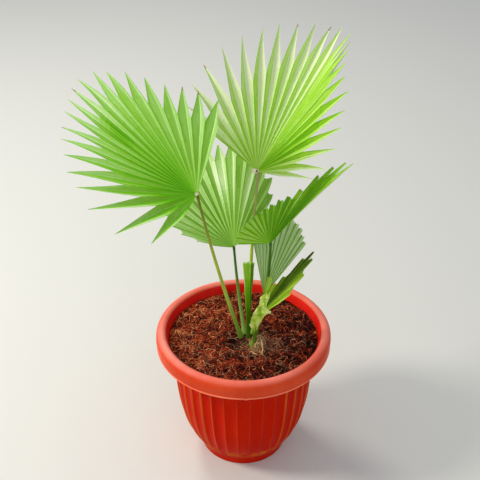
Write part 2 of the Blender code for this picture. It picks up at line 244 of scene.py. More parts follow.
def startMaterial(name):
    material = bpy.data.materials.new(name)
    material.use_nodes = True
    tree = material.node_tree
    return material, tree, tree.nodes["Principled BSDF"].inputs


def grainyMaterial(name, mainColour, secondColour, scale, stretch=(1, 1, 1), low=0.35,
                   high=0.65, smooth=0.5, rough=0.8, strength=0.3, distance=0.0004,
                   shine=0.12):
    # mottled finish with its own bump, for fibre, stalk and plain bits
    material, tree, shader = startMaterial(name)
    grain = placeGroup(tree, grainGroup, {
        "Main Colour": screenColour(*mainColour), "Second Colour": screenColour(*secondColour),
        "Scale": scale, "Stretch": stretch, "Low": low, "High": high,
        "Smooth": smooth, "Rough": rough})
    feed(tree, shader, {
        "Base Color": grain["Colour"], "Roughness": grain["Roughness"],
        "Specular IOR Level": shine,
        "Normal": addBump(tree, grain["Height"], strength, distance)})
    return material


def grainyRow(prefix, colours, scale, rough):
    # one grainy material for each named pair of colours
    return [grainyMaterial(prefix + tone, main, second, scale, rough=rough)
            for tone, (main, second) in colours.items()]


def leafMaterial(name, colour):
    # one plain leaf colour, with veins in its bump and a waxy shine
    material, tree, shader = startMaterial(name)
    veins = placeGroup(tree, veinGroup, {"Veins": 9.0, "Smooth": 0.34, "Rough": 0.52})
    feed(tree, shader, {
        "Base Color": screenColour(*colour), "Roughness": veins["Roughness"],
        "Specular IOR Level": 0.15,
        "Normal": addBump(tree, veins["Height"], 0.25, 0.0003)})
    return material


def toneRow(name, keys, count):
    # plain leaf colours stepping evenly through the key colours
    row = []
    for step in range(count):
        share = step / (count - 1)
        colour = [along([key[part] for key in keys], share) for part in range(3)]
        colour = [clamp(part, 0.0, 255.0) for part in colour]
        row.append(leafMaterial(name + str(step), colour))
    return row


# Rules of shape that every piece shares; values run smoothly along stations as in the part

def along(values, share):
    # smooth value at a share, 0 to 1, of the way through evenly spaced stations
    last = len(values) - 1
    place = min(max(share, 0.0), 1.0) * last
    start = min(int(place), last - 1)
    u = place - start
    here, after = values[start], values[start + 1]
    before = values[start - 1] if start > 0 else 2 * here - after
    beyond = values[start + 2] if start + 2 <= last else 2 * after - here
    slope = after - before
    bend = 2 * before - 5 * here + 4 * after - beyond
    twist = 3 * here - before - 3 * after + beyond
    return 0.5 * (2 * here + slope * u + bend * u ** 2 + twist * u ** 3)


def alongPoints(points, share):
    return Vector([along([point[axis] for point in points], share) for axis in range(3)])


def clamp(value, low=0.0, high=1.0):
    return min(max(value, low), high)


def ripple(place, scale=1.0):
    # smooth random value at a place, about -1 to 1
    return noise.noise(Vector(place) * scale)


def circleTurns(sides):
    return [2 * math.pi * side / sides for side in range(sides)]


def ringFaces(rows, sides):
    faces = []
    for row in range(rows - 1):
        low, high = row * sides, (row + 1) * sides
        for side in range(sides):
            step = (side + 1) % sides
            faces.append((low + side, low + step, high + step, high + side))
    return faces


def cappedFaces(rows, sides, start=0):
    faces = [tuple(start + corner for corner in face) for face in ringFaces(rows, sides)]
    last = start + (rows - 1) * sides
    faces.append(tuple(reversed(range(start, start + sides))))
    faces.append(tuple(range(last, last + sides)))
    return faces


def tubeRings(path, radii, sides, flatness=0.0):
    # rings round a path; flatness takes that share off the radius on the side facing out
    points = []
    across = Vector((1, 0, 0))
    for index, centre in enumerate(path):
        ahead = path[min(index + 1, len(path) - 1)]
        behind = path[max(index - 1, 0)]
        way = (ahead - behind).normalized()
        across = (across - way * across.dot(way)).normalized()
        rise = way.cross(across)
        for side in range(sides):
            turn = 2 * math.pi * (side + 0.5) / sides
            reach = radii[index] * (1 - flatness * max(-math.sin(turn), 0.0) ** 2)
            points.append(centre + (across * math.cos(turn) + rise * math.sin(turn)) * reach)
    return points


def addPiece(name, points, faces, materials, picks=None, layout=None, sharp=None):
    mesh = bpy.data.meshes.new(name)
    mesh.from_pydata([tuple(point) for point in points], [], faces)
    for material in materials:
        mesh.materials.append(material)
    if picks:
        mesh.polygons.foreach_set("material_index", picks)
    if layout:
        sheet = mesh.uv_layers.new(name="bladeLayout")
        corners = [0] * len(mesh.loops)
        mesh.loops.foreach_get("vertex_index", corners)
        sheet.data.foreach_set("uv", [part for corner in corners for part in layout[corner]])
    mesh.shade_smooth()
    if sharp:
        mesh.set_sharp_from_angle(angle=math.radians(sharp))
    mesh.validate()
    piece = bpy.data.objects.new(name, mesh)
    bpy.context.scene.collection.objects.link(piece)
    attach(piece, "root")
    return piece


# Pot

potShape = {
    # its bowl swells out quickly over the foot band, then widens slowly to the shoulder
    "footRadius": 0.0765, "footTopRadius": 0.0810, "footHeight": 0.0180,
    "shoulderRadius": 0.1253, "shoulderHeight": 0.2225, "swell": 4.5, "swellShare": 0.70,
    "bowlRows": 70, "rowCrowding": 1.25, "wall": 0.0035, "floor": 0.0045,
    # (radius, height) places: up the foot band, in the channel from the bowl to the lip,
    # and round the rolled rim from its lip over the crown to the collar inside
    "foot": ((0.0700, 0.0), (0.0752, 0.0), (0.0765, 0.0012), (0.0771, 0.0030),
             (0.0770, 0.0042), (0.0786, 0.0100), (0.0803, 0.0165)),
    "channel": ((0.1290, 0.2290), (0.1318, 0.2320), (0.1470, 0.2320), (0.1484, 0.2262)),
    "rim": ((0.1503, 0.2232), (0.1514, 0.2300), (0.1524, 0.2380), (0.1514, 0.2460),
            (0.1474, 0.2512), (0.1418, 0.2530), (0.1370, 0.2512), (0.1342, 0.2470),
            (0.1322, 0.2410), (0.1311, 0.2350)),
    "rimSteps": 44,
    "insideHeights": (0.2225, 0.180, 0.120, 0.070, 0.045),
    # bead on the lip, an arc in degrees, with a small nub hanging from it at one turn
    "beadRadius": 0.0016, "beadFrom": 200, "beadSweep": 200, "beadSteps": 8,
    "nubTurn": -88.4, "nubWidth": 0.9, "nubDrop": 0.0015, "nubTall": 0.0018,
    "nubInside": 0.1480,
    "flutes": 34, "fluteDepth": 0.0032,
    # where the sides fall across one flute, close together at its ridges
    "fluteSides": (0.0, 0.035, 0.10, 0.18, 0.26, 0.34, 0.42, 0.50, 0.58, 0.66, 0.74, 0.82,
                   0.90, 0.965),
    "fluteTop": 0.2080, "fluteTopFade": 0.0340, "fluteBottom": 0.0262, "fluteBottomFade": 0.0120,
    # main and second colour of each finish; the ridges carry a painted highlight, faint at the
    # front and wider and paler on the sides, where it also stands for some wear
    "finishes": {"potBowl": ((204, 32, 0), (186, 21, 0)),
                 "potRidgeHighlight": ((208, 56, 4), (192, 38, 1)),
                 "potRim": ((224, 80, 42), (212, 62, 28)),
                 # the rim's inner wall is painted lighter than the plastic, painted light that
                 # lifts the shade on it
                 "potInsideLightened": ((238, 42, 32), (216, 26, 20)),
                 # the bead is painted pale, a painted highlight along the lip
                 "potBeadHighlight": ((250, 140, 108), (238, 112, 80)),
                 "potSideRidgeHighlight": ((212, 98, 34), (200, 72, 12))},
    "dustColour": (206, 116, 44), "crownSheenColour": (244, 150, 138),
    # the bead's painted highlight spreads a little past it; the rim's finish starts over this
    # height and ends inside this radius; a ridge's painted highlight keeps off both ends of its
    # flute
    "beadSpread": 1.1, "rimFrom": 0.2330, "rimInside": 0.1352,
    "ridgeFrom": 0.006, "ridgeTo": 0.016, "ridgeSunk": 0.0036,
    "frontTurn": -90, "frontSpread": 27,
}


def bowlRadius(height):
    shape = potShape
    share = (height - shape["footHeight"]) / (shape["shoulderHeight"] - shape["footHeight"])
    swell = shape["swellShare"] * (1 - (1 - share) ** shape["swell"])
    spread = swell + (1 - shape["swellShare"]) * share
    return shape["footTopRadius"] + (shape["shoulderRadius"] - shape["footTopRadius"]) * spread


def fluteDepth(height, turn):
    # hollow channel with scooped ends between two sharp ridges
    shape = potShape
    across = (shape["flutes"] * turn / (2 * math.pi)) % 1.0 * 2 - 1
    top = shape["fluteTop"] - shape["fluteTopFade"]
    bottom = shape["fluteBottom"] + shape["fluteBottomFade"]
    past = max((height - top) / shape["fluteTopFade"], 0.0)
    past = max(past, (bottom - height) / shape["fluteBottomFade"], 0.0)
    return shape["fluteDepth"] * max(1 - across ** 2 - past ** 2, 0.0)


def awayFrom(turn, degrees):
    # signed degrees between a turn in radians and a bearing, -180 to 180
    return (math.degrees(turn) - degrees + 180) % 360 - 180


def potProfile():
    # (radius, height) rows of the pot from under the foot, up and over, down to the floor
    shape = potShape
    rows = list(shape["foot"])
    for step in range(shape["bowlRows"] + 1):
        share = (step / shape["bowlRows"]) ** shape["rowCrowding"]
        height = shape["footHeight"] + (shape["shoulderHeight"] - shape["footHeight"]) * share
        rows.append((bowlRadius(height), height))
    rows += shape["channel"]
    lipRadius, lipHeight = shape["rim"][0]
    for step in range(shape["beadSteps"] + 1):
        turn = math.radians(shape["beadFrom"] + shape["beadSweep"] * step / shape["beadSteps"])
        rows.append((lipRadius + shape["beadRadius"] * math.cos(turn),
                     lipHeight + shape["beadRadius"] * math.sin(turn)))
    for step in range(1, shape["rimSteps"] + 1):
        share = step / shape["rimSteps"]
        rows.append(tuple(along([place[axis] for place in shape["rim"]], share)
                          for axis in (0, 1)))
    for height in shape["insideHeights"]:
        rows.append((bowlRadius(height) - shape["wall"] - shape["fluteDepth"], height))
    rows.append((shape["footRadius"] - shape["wall"], shape["floor"]))
    return rows


def makePotMaterial(name, mainColour, secondColour):
    # mottled plastic with dust low on the bowl, and a pale patchy band of painted sheen round the
    # crown of the rim
    material, tree, shader = startMaterial(name)
    grain = placeGroup(tree, grainGroup, {
        "Main Colour": screenColour(*mainColour), "Second Colour": screenColour(*secondColour),
        "Scale": 14.0, "Stretch": (1.0, 1.0, 0.4), "Smooth": 0.28, "Rough": 0.40})
    dust = placeGroup(tree, bandGroup, {
        "Colour": grain["Colour"], "Band Colour": screenColour(*potShape["dustColour"]),
        "Middle": 0.0330, "Half Width": 0.0130, "Amount": 0.70, "Patch Scale": 46.0})
    colour = dust["Colour"]
    if name == "potRim":
        # painted sheen: a pale, patchy band round the crown of the rim
        colour = placeGroup(tree, bandGroup, {
            "Colour": colour, "Band Colour": screenColour(*potShape["crownSheenColour"]),
            "Middle": 0.2540, "Half Width": 0.0085, "Amount": 0.74, "Evenness": 0.45,
            "Patch Scale": 11.0})["Colour"]
    rough = addNode(tree, "Math", {0: dust["Mask"], 1: 0.5, 2: grain["Roughness"]},
                    operation="MULTIPLY_ADD")[0]
    fine = placeGroup(tree, grainGroup, {"Scale": 420.0})
    onBowl = name in ("potBowl", "potRidgeHighlight", "potSideRidgeHighlight")
    feed(tree, shader, {
        "Base Color": colour, "Roughness": rough, "Specular IOR Level": 0.02 if onBowl else 0.06,
        "Normal": addBump(tree, fine["Height"], 0.06, 0.0003)})
    return material


def potFinish(radius, height, side, turn):
    # which finish a spot of the pot takes
    shape = potShape
    lipRadius, lipHeight = shape["rim"][0]
    fromLip = math.hypot(radius - lipRadius, height - lipHeight)
    # the bead and a little round it take the painted highlight
    if fromLip < shape["beadRadius"] * shape["beadSpread"]:
        return "potBeadHighlight"
    if (radius > lipRadius - nearly and height > lipHeight) or height > shape["rimFrom"]:
        # the rim's inner wall takes the lighter copy, painted light over its shade
        return "potInsideLightened" if radius < shape["rimInside"] else "potRim"
    bottom, top = shape["fluteBottom"] + shape["ridgeFrom"], shape["fluteTop"] - shape["ridgeTo"]
    # painted highlight on the ridges: one band each side of a ridge at the front, two and paler
    # elsewhere
    atFront = abs(awayFrom(turn, shape["frontTurn"])) < shape["frontSpread"]
    fromRidge = min(side, len(shape["fluteSides"]) - 1 - side)
    onRidge = fromRidge < (1 if atFront else 2) and bottom < height < top
    if not (onRidge and radius > bowlRadius(height) - shape["ridgeSunk"]):
        return "potBowl"
    return "potRidgeHighlight" if atFront else "potSideRidgeHighlight"


def addPot():
    shape = potShape
    profile = potProfile()
    perFlute = len(shape["fluteSides"])
    turns = [(flute + part) / shape["flutes"] * 2 * math.pi
             for flute in range(shape["flutes"]) for part in shape["fluteSides"]]
    points = []
    for radius, height in profile:
        onBowl = bowlRadius(min(height, shape["shoulderHeight"]))
        fluted = abs(radius - onBowl) < nearly
        atLip = (abs(height - shape["rim"][0][1]) < shape["nubTall"]
                 and radius > shape["nubInside"])
        for turn in turns:
            reach = radius - (fluteDepth(height, turn) if fluted else 0.0)
            rise = height
            if atLip:
                away = awayFrom(turn, shape["nubTurn"])
                rise -= shape["nubDrop"] * math.exp(-(away / shape["nubWidth"]) ** 2)
            points.append((reach * math.cos(turn), reach * math.sin(turn), rise))
    faces = cappedFaces(len(profile), len(turns))
    names = list(shape["finishes"])
    picks = []
    for index in range(len(faces)):
        row, side = divmod(index, len(turns))
        if row >= len(profile) - 1:  # the two caps
            picks.append(names.index("potBowl"))
            continue
        radius, height = ((profile[row][axis] + profile[row + 1][axis]) / 2 for axis in (0, 1))
        finish = potFinish(radius, height, side % perFlute, turns[side])
        picks.append(names.index(finish))
    materials = [makePotMaterial(name, *shape["finishes"][name]) for name in names]
    pot = addPiece("plasticPot", points, faces, materials, picks, sharp=50)
    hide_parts("pot")


addPot()
print("pot made")


# Coir: a lumpy bed, husk chips on it, and thousands of short curled fibres

coirShape = {
    "edgeHeight": 0.2335, "seatHeight": 0.2365, "seatRadius": 0.0380, "edgeRadius": 0.1302,
    # (radius, height) of its underside, and the heights of its rows up the pot's wall
    "underside": (0.0726, 0.0050), "wallHeights": (0.045, 0.070, 0.120, 0.180, 0.222),
    "waves": (3, 2), "lump": 0.0016, "rings": 120, "sides": 300,
    # clods less pits make its broken surface, calmer by the wall, with fine crumbs on it
    "broken": 0.0044, "clods": 0.7, "clodScale": 95.0, "pits": 0.8, "pitScale": 47.0,
    "calm": 0.25, "calmWidth": 0.010, "crumbs": 0.0016, "crumbScale": 330.0,
    # hollows in the bed as (x, y, radius, depth)
    "hollows": ((-0.0140, -0.0170, 0.0110, 0.0110), (-0.006, -0.034, 0.014, 0.0035),
                (0.004, 0.045, 0.020, 0.0030), (0.045, -0.010, 0.018, 0.0030)),
    # strands stay this far inside the edge, and stray up or down and aside at each step
    "keepIn": 0.0015, "jitter": (-0.0004, 0.0007), "wander": 0.45,
    # tone: its level, its clumps and their scales, its slope in x and y, its spread, painted
    # shade over the deepest hollow, and the levels where one tone gives way to the next
    "toneLevel": 0.46, "clumps": 0.85, "clumpScale": 190, "wideClumps": 0.7,
    "wideClumpScale": 60, "toneSlope": (-2.0, 0.8), "toneSpread": 0.36,
    "hollowShade": (-0.012, -0.018, 0.013, 1.5), "toneSteps": (0.22, 0.60, 0.98),
    # each tone with the colour it is mottled with
    "colours": {"Dark": ((34, 9, 6), (16, 4, 3)), "Brown": ((124, 40, 20), (80, 22, 11)),
                "Rusty": ((204, 86, 44), (156, 56, 27)),
                "Tan": ((244, 172, 118), (206, 116, 70))},
    "paleColours": {"Straw": ((222, 176, 130), (178, 122, 84)),
                    "Grey": ((168, 128, 104), (120, 82, 66))},
}

# every sort of strand: how many, how long and thick, and how it lies and bends
strandSorts = {
    "coirBundles": {"seed": 11, "count": 3300, "length": (0.005, 0.017),
                    "radius": (0.00042, 0.00095), "steps": 5, "lift": 0.0022, "curl": 0.55,
                    "sides": 4},
    "coirFibres": {"seed": 12, "count": 4200, "length": (0.007, 0.024),
                   "radius": (0.00020, 0.00042), "steps": 6, "lift": 0.0034, "curl": 0.55,
                   "sides": 3},
    "paleFibres": {"seed": 13, "count": 520, "length": (0.010, 0.030),
                   "radius": (0.00020, 0.00044), "steps": 8, "lift": 0.0050, "curl": 0.35,
                   "sides": 3},
}

chipShape = {
    "seed": 5, "count": 1300, "size": (0.0014, 0.0042), "wide": (0.7, 1.2), "deep": (0.4, 0.8),
    "thick": 0.45, "warp": 0.3, "lift": 0.1,
}


def dip(x, y, hollow):
    # depth at a place of a soft round hollow, given as (x, y, radius, depth)
    middleX, middleY, radius, depth = hollow
    away = math.hypot(x - middleX, y - middleY) / radius
    return depth * math.exp(-away ** 2)


def coirBed(x, y):
    # height of the coir's broken surface
    shape = coirShape
    radius = math.hypot(x, y)
    turn = math.atan2(y, x)
    share = clamp((radius - shape["seatRadius"]) / (shape["edgeRadius"] - shape["seatRadius"]))
    wave = math.sin(shape["waves"][0] * turn) * math.cos(shape["waves"][1] * turn - 4 * share)
    height = shape["seatHeight"] + (shape["edgeHeight"] - shape["seatHeight"]) * share
    height += shape["lump"] * wave * 4 * share * (1 - share)
    place = (x, y, 0.0)
    inward = clamp((shape["edgeRadius"] - radius) / shape["calmWidth"])
    calm = shape["calm"] + (1 - shape["calm"]) * inward
    clod, pit = ripple(place, shape["clodScale"]), abs(ripple(place, shape["pitScale"]))
    height += shape["broken"] * calm * (shape["clods"] * clod - shape["pits"] * pit)
    height += shape["crumbs"] * ripple(place, shape["crumbScale"])
    for hollow in shape["hollows"]:
        height -= dip(x, y, hollow)
    return height


def addCoirBed():
    shape = coirShape
    inset = potShape["wall"] + potShape["fluteDepth"] + gap
    turns = circleTurns(shape["sides"])
    wall = [shape["underside"]]
    wall += [(bowlRadius(height) - inset, height) for height in shape["wallHeights"]]
    points = [(radius * math.cos(turn), radius * math.sin(turn), height)
              for radius, height in wall for turn in turns]
    for ring in range(shape["rings"]):
        radius = shape["edgeRadius"] * (1 - ring / shape["rings"])
        for turn in turns:
            x, y = radius * math.cos(turn), radius * math.sin(turn)
            points.append((x, y, coirBed(x, y)))
    material = grainyMaterial("coirBed", (58, 15, 8), (14, 4, 3), 260.0, low=0.42,
                              high=0.60, smooth=0.85, rough=1.0, strength=0.8, distance=0.001)
    faces = cappedFaces(len(wall) + shape["rings"], shape["sides"])
    bed = addPiece("coirBed", points, faces, [material])
    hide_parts("coir_fill")


def strandRings(points, faces, picks, path, radius, pick, sides=3):
    # thin strand tapering to both ends
    start = len(points)
    last = len(path) - 1
    radii = [radius * (0.35 + 0.65 * math.sin(math.pi * (0.12 + 0.76 * step / last)))
             for step in range(last + 1)]
    points.extend(tubeRings(path, radii, sides))
    made = cappedFaces(last + 1, sides, start)
    faces.extend(made)
    picks.extend([pick] * len(made))


def curledPath(dice, x, y, length, sort):
    # wandering path that keeps to the bed, with its middle lifted a little
    shape = coirShape
    path = []
    steps = sort["steps"]
    heading = dice.uniform(0, 2 * math.pi)
    bend = dice.uniform(-sort["curl"], sort["curl"])
    rise = dice.uniform(0.0, sort["lift"])
    edge = shape["edgeRadius"] - shape["keepIn"]
    for step in range(steps + 1):
        reach = math.hypot(x, y)
        if reach > edge:
            x, y = x * edge / reach, y * edge / reach
        share = step / steps
        height = coirBed(x, y) + gap + rise * 4 * share * (1 - share)
        path.append(Vector((x, y, height + dice.uniform(*shape["jitter"]))))
        heading += bend + dice.uniform(-shape["wander"], shape["wander"])
        x += math.cos(heading) * length / steps
        y += math.sin(heading) * length / steps
    return path


def pickTone(dice, x, y):
    # dark to tan, in clumps a few millimetres wide; redder and paler on the left
    shape = coirShape
    place = (x, y, 0.0)
    slopeX, slopeY = shape["toneSlope"]
    clump = ripple(place, shape["clumpScale"])
    clump += shape["wideClumps"] * ripple(place, shape["wideClumpScale"])
    level = shape["toneLevel"] + shape["clumps"] * clump + slopeX * x + slopeY * y
    level += dice.uniform(-shape["toneSpread"], shape["toneSpread"])
    # painted shade: darker in the deepest hollow
    level -= dip(x, y, shape["hollowShade"])
    return sum(level >= step for step in shape["toneSteps"])


def scatter(dice, spread=1.0):
    # a place anywhere on the bed
    radius = (coirShape["edgeRadius"] - 0.002) * math.sqrt(dice.random()) * spread
    turn = dice.uniform(0, 2 * math.pi)
    return radius * math.cos(turn), radius * math.sin(turn)


def palePlace(strand, x, y):
    # a third of the pale fibres lie round the stub and a third in the front half
    if strand % 3 == 0:
        return 0.30 * x + 0.028, 0.24 * y - 0.026
    return (x, -abs(y)) if strand % 3 == 1 else (x, y)


def addStrands(name, sort):
    dice = random.Random(sort["seed"])
    pale = name == "paleFibres"
    points, faces, picks = [], [], []
    for strand in range(sort["count"]):
        x, y = scatter(dice)
        if pale:
            x, y = palePlace(strand, x, y)
        pick = strand % 2 if pale else pickTone(dice, x, y)
        path = curledPath(dice, x, y, dice.uniform(*sort["length"]), sort)
        radius = dice.uniform(*sort["radius"])
        strandRings(points, faces, picks, path, radius, pick, sort["sides"])
    if pale:
        materials = grainyRow("fibre", coirShape["paleColours"], 300.0, 0.8)
    else:
        materials = grainyRow(name, coirShape["colours"], 280.0, 0.95)
    piece = addPiece(name, points, faces, materials, picks)


def addChips():
    # small broken bits of husk, each a squashed six-sided lump
    shape = chipShape
    dice = random.Random(shape["seed"])
    points, faces, picks = [], [], []
    corners = ((1, 0, 0), (0, 1, 0), (-1, 0, 0), (0, -1, 0), (0, 0, 1), (0, 0, -1))
    sides = ((0, 1, 4), (1, 2, 4), (2, 3, 4), (3, 0, 4), (1, 0, 5), (2, 1, 5), (3, 2, 5),
             (0, 3, 5))
    for chip in range(shape["count"]):
        x, y = scatter(dice, 0.985)
        size = dice.uniform(*shape["size"])
        centre = Vector((x, y, coirBed(x, y) + size * shape["lift"]))
        spin = dice.uniform(0, math.pi)
        start = len(points)
        for a, b, c in corners:
            wide = size * dice.uniform(*shape["wide"])
            deep = size * dice.uniform(*shape["deep"])
            side = Vector((a * wide, b * deep, c * size * shape["thick"]))
            points.append(centre + Vector((
                side.x * math.cos(spin) - side.y * math.sin(spin),
                side.x * math.sin(spin) + side.y * math.cos(spin),
                side.z + dice.uniform(-shape["warp"], shape["warp"]) * size)))
        faces.extend(tuple(start + corner for corner in face) for face in sides)
        picks.extend([pickTone(dice, x, y)] * len(sides))
    materials = grainyRow("husk", coirShape["colours"], 200.0, 0.95)
    piece = addPiece("coirChips", points, faces, materials, picks, sharp=30)


addCoirBed()
for sortName, strandSort in strandSorts.items():
    addStrands(sortName, strandSort)
addChips()
print("coir made")


# Stem base: a fibrous stub that the stalks rise from, wrapped in tan strands

stemShape = {
    # low mound and taller stub, as centres, radii and heights; both lie sunk in the coir
    "centre": (0.0120, -0.0100), "foot": 0.0260, "height": 0.0060,
    "stub": (0.0270, -0.0275), "stubRadius": 0.0130, "stubHeight": 0.0215,
    "sunk": 0.0030, "baseSunk": 0.0090, "bumps": 0.0018, "bumpScale": 230,
    "hollow": (-0.016, -0.014, 0.010, 0.006),
    # the patch that is modelled, as its middle and radius
    "middle": (0.0165, -0.0220), "reach": 0.0350, "rings": 34, "sides": 84,
    # strands run out over the stub, the mound or the apron in front of the stub
    "apron": (0.0225, -0.0400), "apronSpread": 0.0120,
    "seed": 23, "strands": 900, "strandFrom": (0.05, 0.6), "strandTo": (0.8, 1.5),
    "swing": 0.6, "strandSteps": 7, "strandRadius": (0.00028, 0.00070),
    # chances of straw, brown, pale and olive on the stub and apron, and on the mound
    "stubOdds": (0.34, 0.24, 0.26, 0.16), "moundOdds": (0.10, 0.80, 0.04, 0.06),
    # thick pale roots beside the stub, as (x, y) from end to end
    "roots": (((0.0300, -0.0330), (0.0330, -0.0400), (0.0320, -0.0480)),
              ((0.0270, -0.0460), (0.0315, -0.0500), (0.0290, -0.0570)),
              ((0.0120, -0.0440), (0.0170, -0.0500), (0.0230, -0.0540))),
    "rootRadius": 0.0016, "rootSteps": 12, "rootLift": 0.0012, "rootBumps": 0.0006,
    # each with its second colour and its roughness
    "strandColours": {"stemStraw": ((216, 172, 120), (166, 122, 80), 0.9),
                      "stemBrown": ((92, 46, 28), (52, 24, 15), 0.95),
                      "stemPale": ((242, 210, 164), (204, 164, 116), 0.9),
                      "stemOlive": ((134, 142, 70), (98, 100, 46), 0.9)},
    "moundColours": {"stemFibre": ((196, 152, 104), (112, 74, 46), 190.0, (1, 1, 0.3)),
                     "stemDark": ((78, 30, 18), (24, 9, 6), 220.0, (1, 1, 1))},
}


def stemHeight(x, y):
    # a low fibrous mound under the stalks, with a taller stub in front
    shape = stemShape
    away = math.hypot(x - shape["centre"][0], y - shape["centre"][1]) / shape["foot"]
    dome = shape["height"] * max(1 - away ** 2, 0.0)
    near = math.hypot(x - shape["stub"][0], y - shape["stub"][1]) / shape["stubRadius"]
    stub = shape["stubHeight"] * max(1 - near ** 2, 0.0) ** 0.7
    rough = shape["bumps"] * ripple((x, y, 0.3), shape["bumpScale"])
    base = coirShape["seatHeight"] - shape["sunk"]
    return base + max(dome, stub) + rough - dip(x, y, shape["hollow"])


def addStem():
    shape = stemShape
    middleX, middleY = shape["middle"]
    rows = []
    for ring in range(shape["rings"] + 1):
        radius = shape["reach"] * (1 - ring / shape["rings"]) + 0.0002
        row = []
        for turn in circleTurns(shape["sides"]):
            x, y = middleX + radius * math.cos(turn), middleY + radius * math.sin(turn)
            row.append((x, y, stemHeight(x, y)))
        rows.append(row)
    base = [(x, y, coirShape["seatHeight"] - shape["baseSunk"]) for x, y, _ in rows[0]]
    points = [point for row in [base] + rows for point in row]
    faces = cappedFaces(len(rows) + 1, shape["sides"])
    stubX, stubY = shape["stub"]
    picks = []
    for face in faces:
        x, y = (sum(points[corner][axis] for corner in face) / len(face) for axis in (0, 1))
        edge = 1.15 + 0.35 * ripple((x, y, 0), 180)
        onStub = math.hypot(x - stubX, y - stubY) < shape["stubRadius"] * edge
        picks.append(0 if onStub else 1)
    materials = [grainyMaterial(name, *finish, low=0.40, high=0.62, rough=0.95, strength=0.7,
                                distance=0.0008)
                 for name, finish in shape["moundColours"].items()]
    stem = addPiece("stemMound", points, faces, materials, picks)
    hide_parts("stem_base")


def addStemStrands():
    # strands that run down over the stub and the mound and out into the coir
    shape = stemShape
    dice = random.Random(shape["seed"])
    points, faces, picks = [], [], []
    for strand in range(shape["strands"]):
        onStub = strand % 4 != 0
        middle = shape["stub"] if onStub else shape["centre"]
        spread = shape["stubRadius"] if onStub else shape["foot"]
        if strand % 4 == 3:
            middle, spread = shape["apron"], shape["apronSpread"]
        turn = dice.uniform(0, 2 * math.pi)
        inner, outer = (dice.uniform(*shape[end]) * spread for end in ("strandFrom", "strandTo"))
        swing = dice.uniform(-shape["swing"], shape["swing"])
        path = []
        for step in range(shape["strandSteps"] + 1):
            share = step / shape["strandSteps"]
            radius = inner + (outer - inner) * share
            angle = turn + swing * share + dice.uniform(-0.08, 0.08)
            x, y = middle[0] + radius * math.cos(angle), middle[1] + radius * math.sin(angle)
            height = max(stemHeight(x, y), coirBed(x, y)) + 0.0002 + dice.uniform(0, 0.0014)
            path.append(Vector((x, y, height)))
        odds = shape["stubOdds"] if onStub else shape["moundOdds"]
        pick = dice.choices(range(4), odds)[0]
        strandRings(points, faces, picks, path, dice.uniform(*shape["strandRadius"]), pick)
    for root in shape["roots"]:
        path = []
        for step in range(shape["rootSteps"] + 1):
            x, y, _ = alongPoints([(*place, 0.0) for place in root], step / shape["rootSteps"])
            height = max(stemHeight(x, y), coirBed(x, y)) + shape["rootLift"]
            bump = shape["rootBumps"] * ripple((x, y, 0), 300)
            path.append(Vector((x, y, height + bump)))
        strandRings(points, faces, picks, path, shape["rootRadius"], 2, 8)
    materials = [grainyMaterial(name, main, second, 240.0, rough=rough)
                 for name, (main, second, rough) in shape["strandColours"].items()]
    piece = addPiece("stemStrands", points, faces, materials, picks)


addStem()
addStemStrands()
print("stem made")
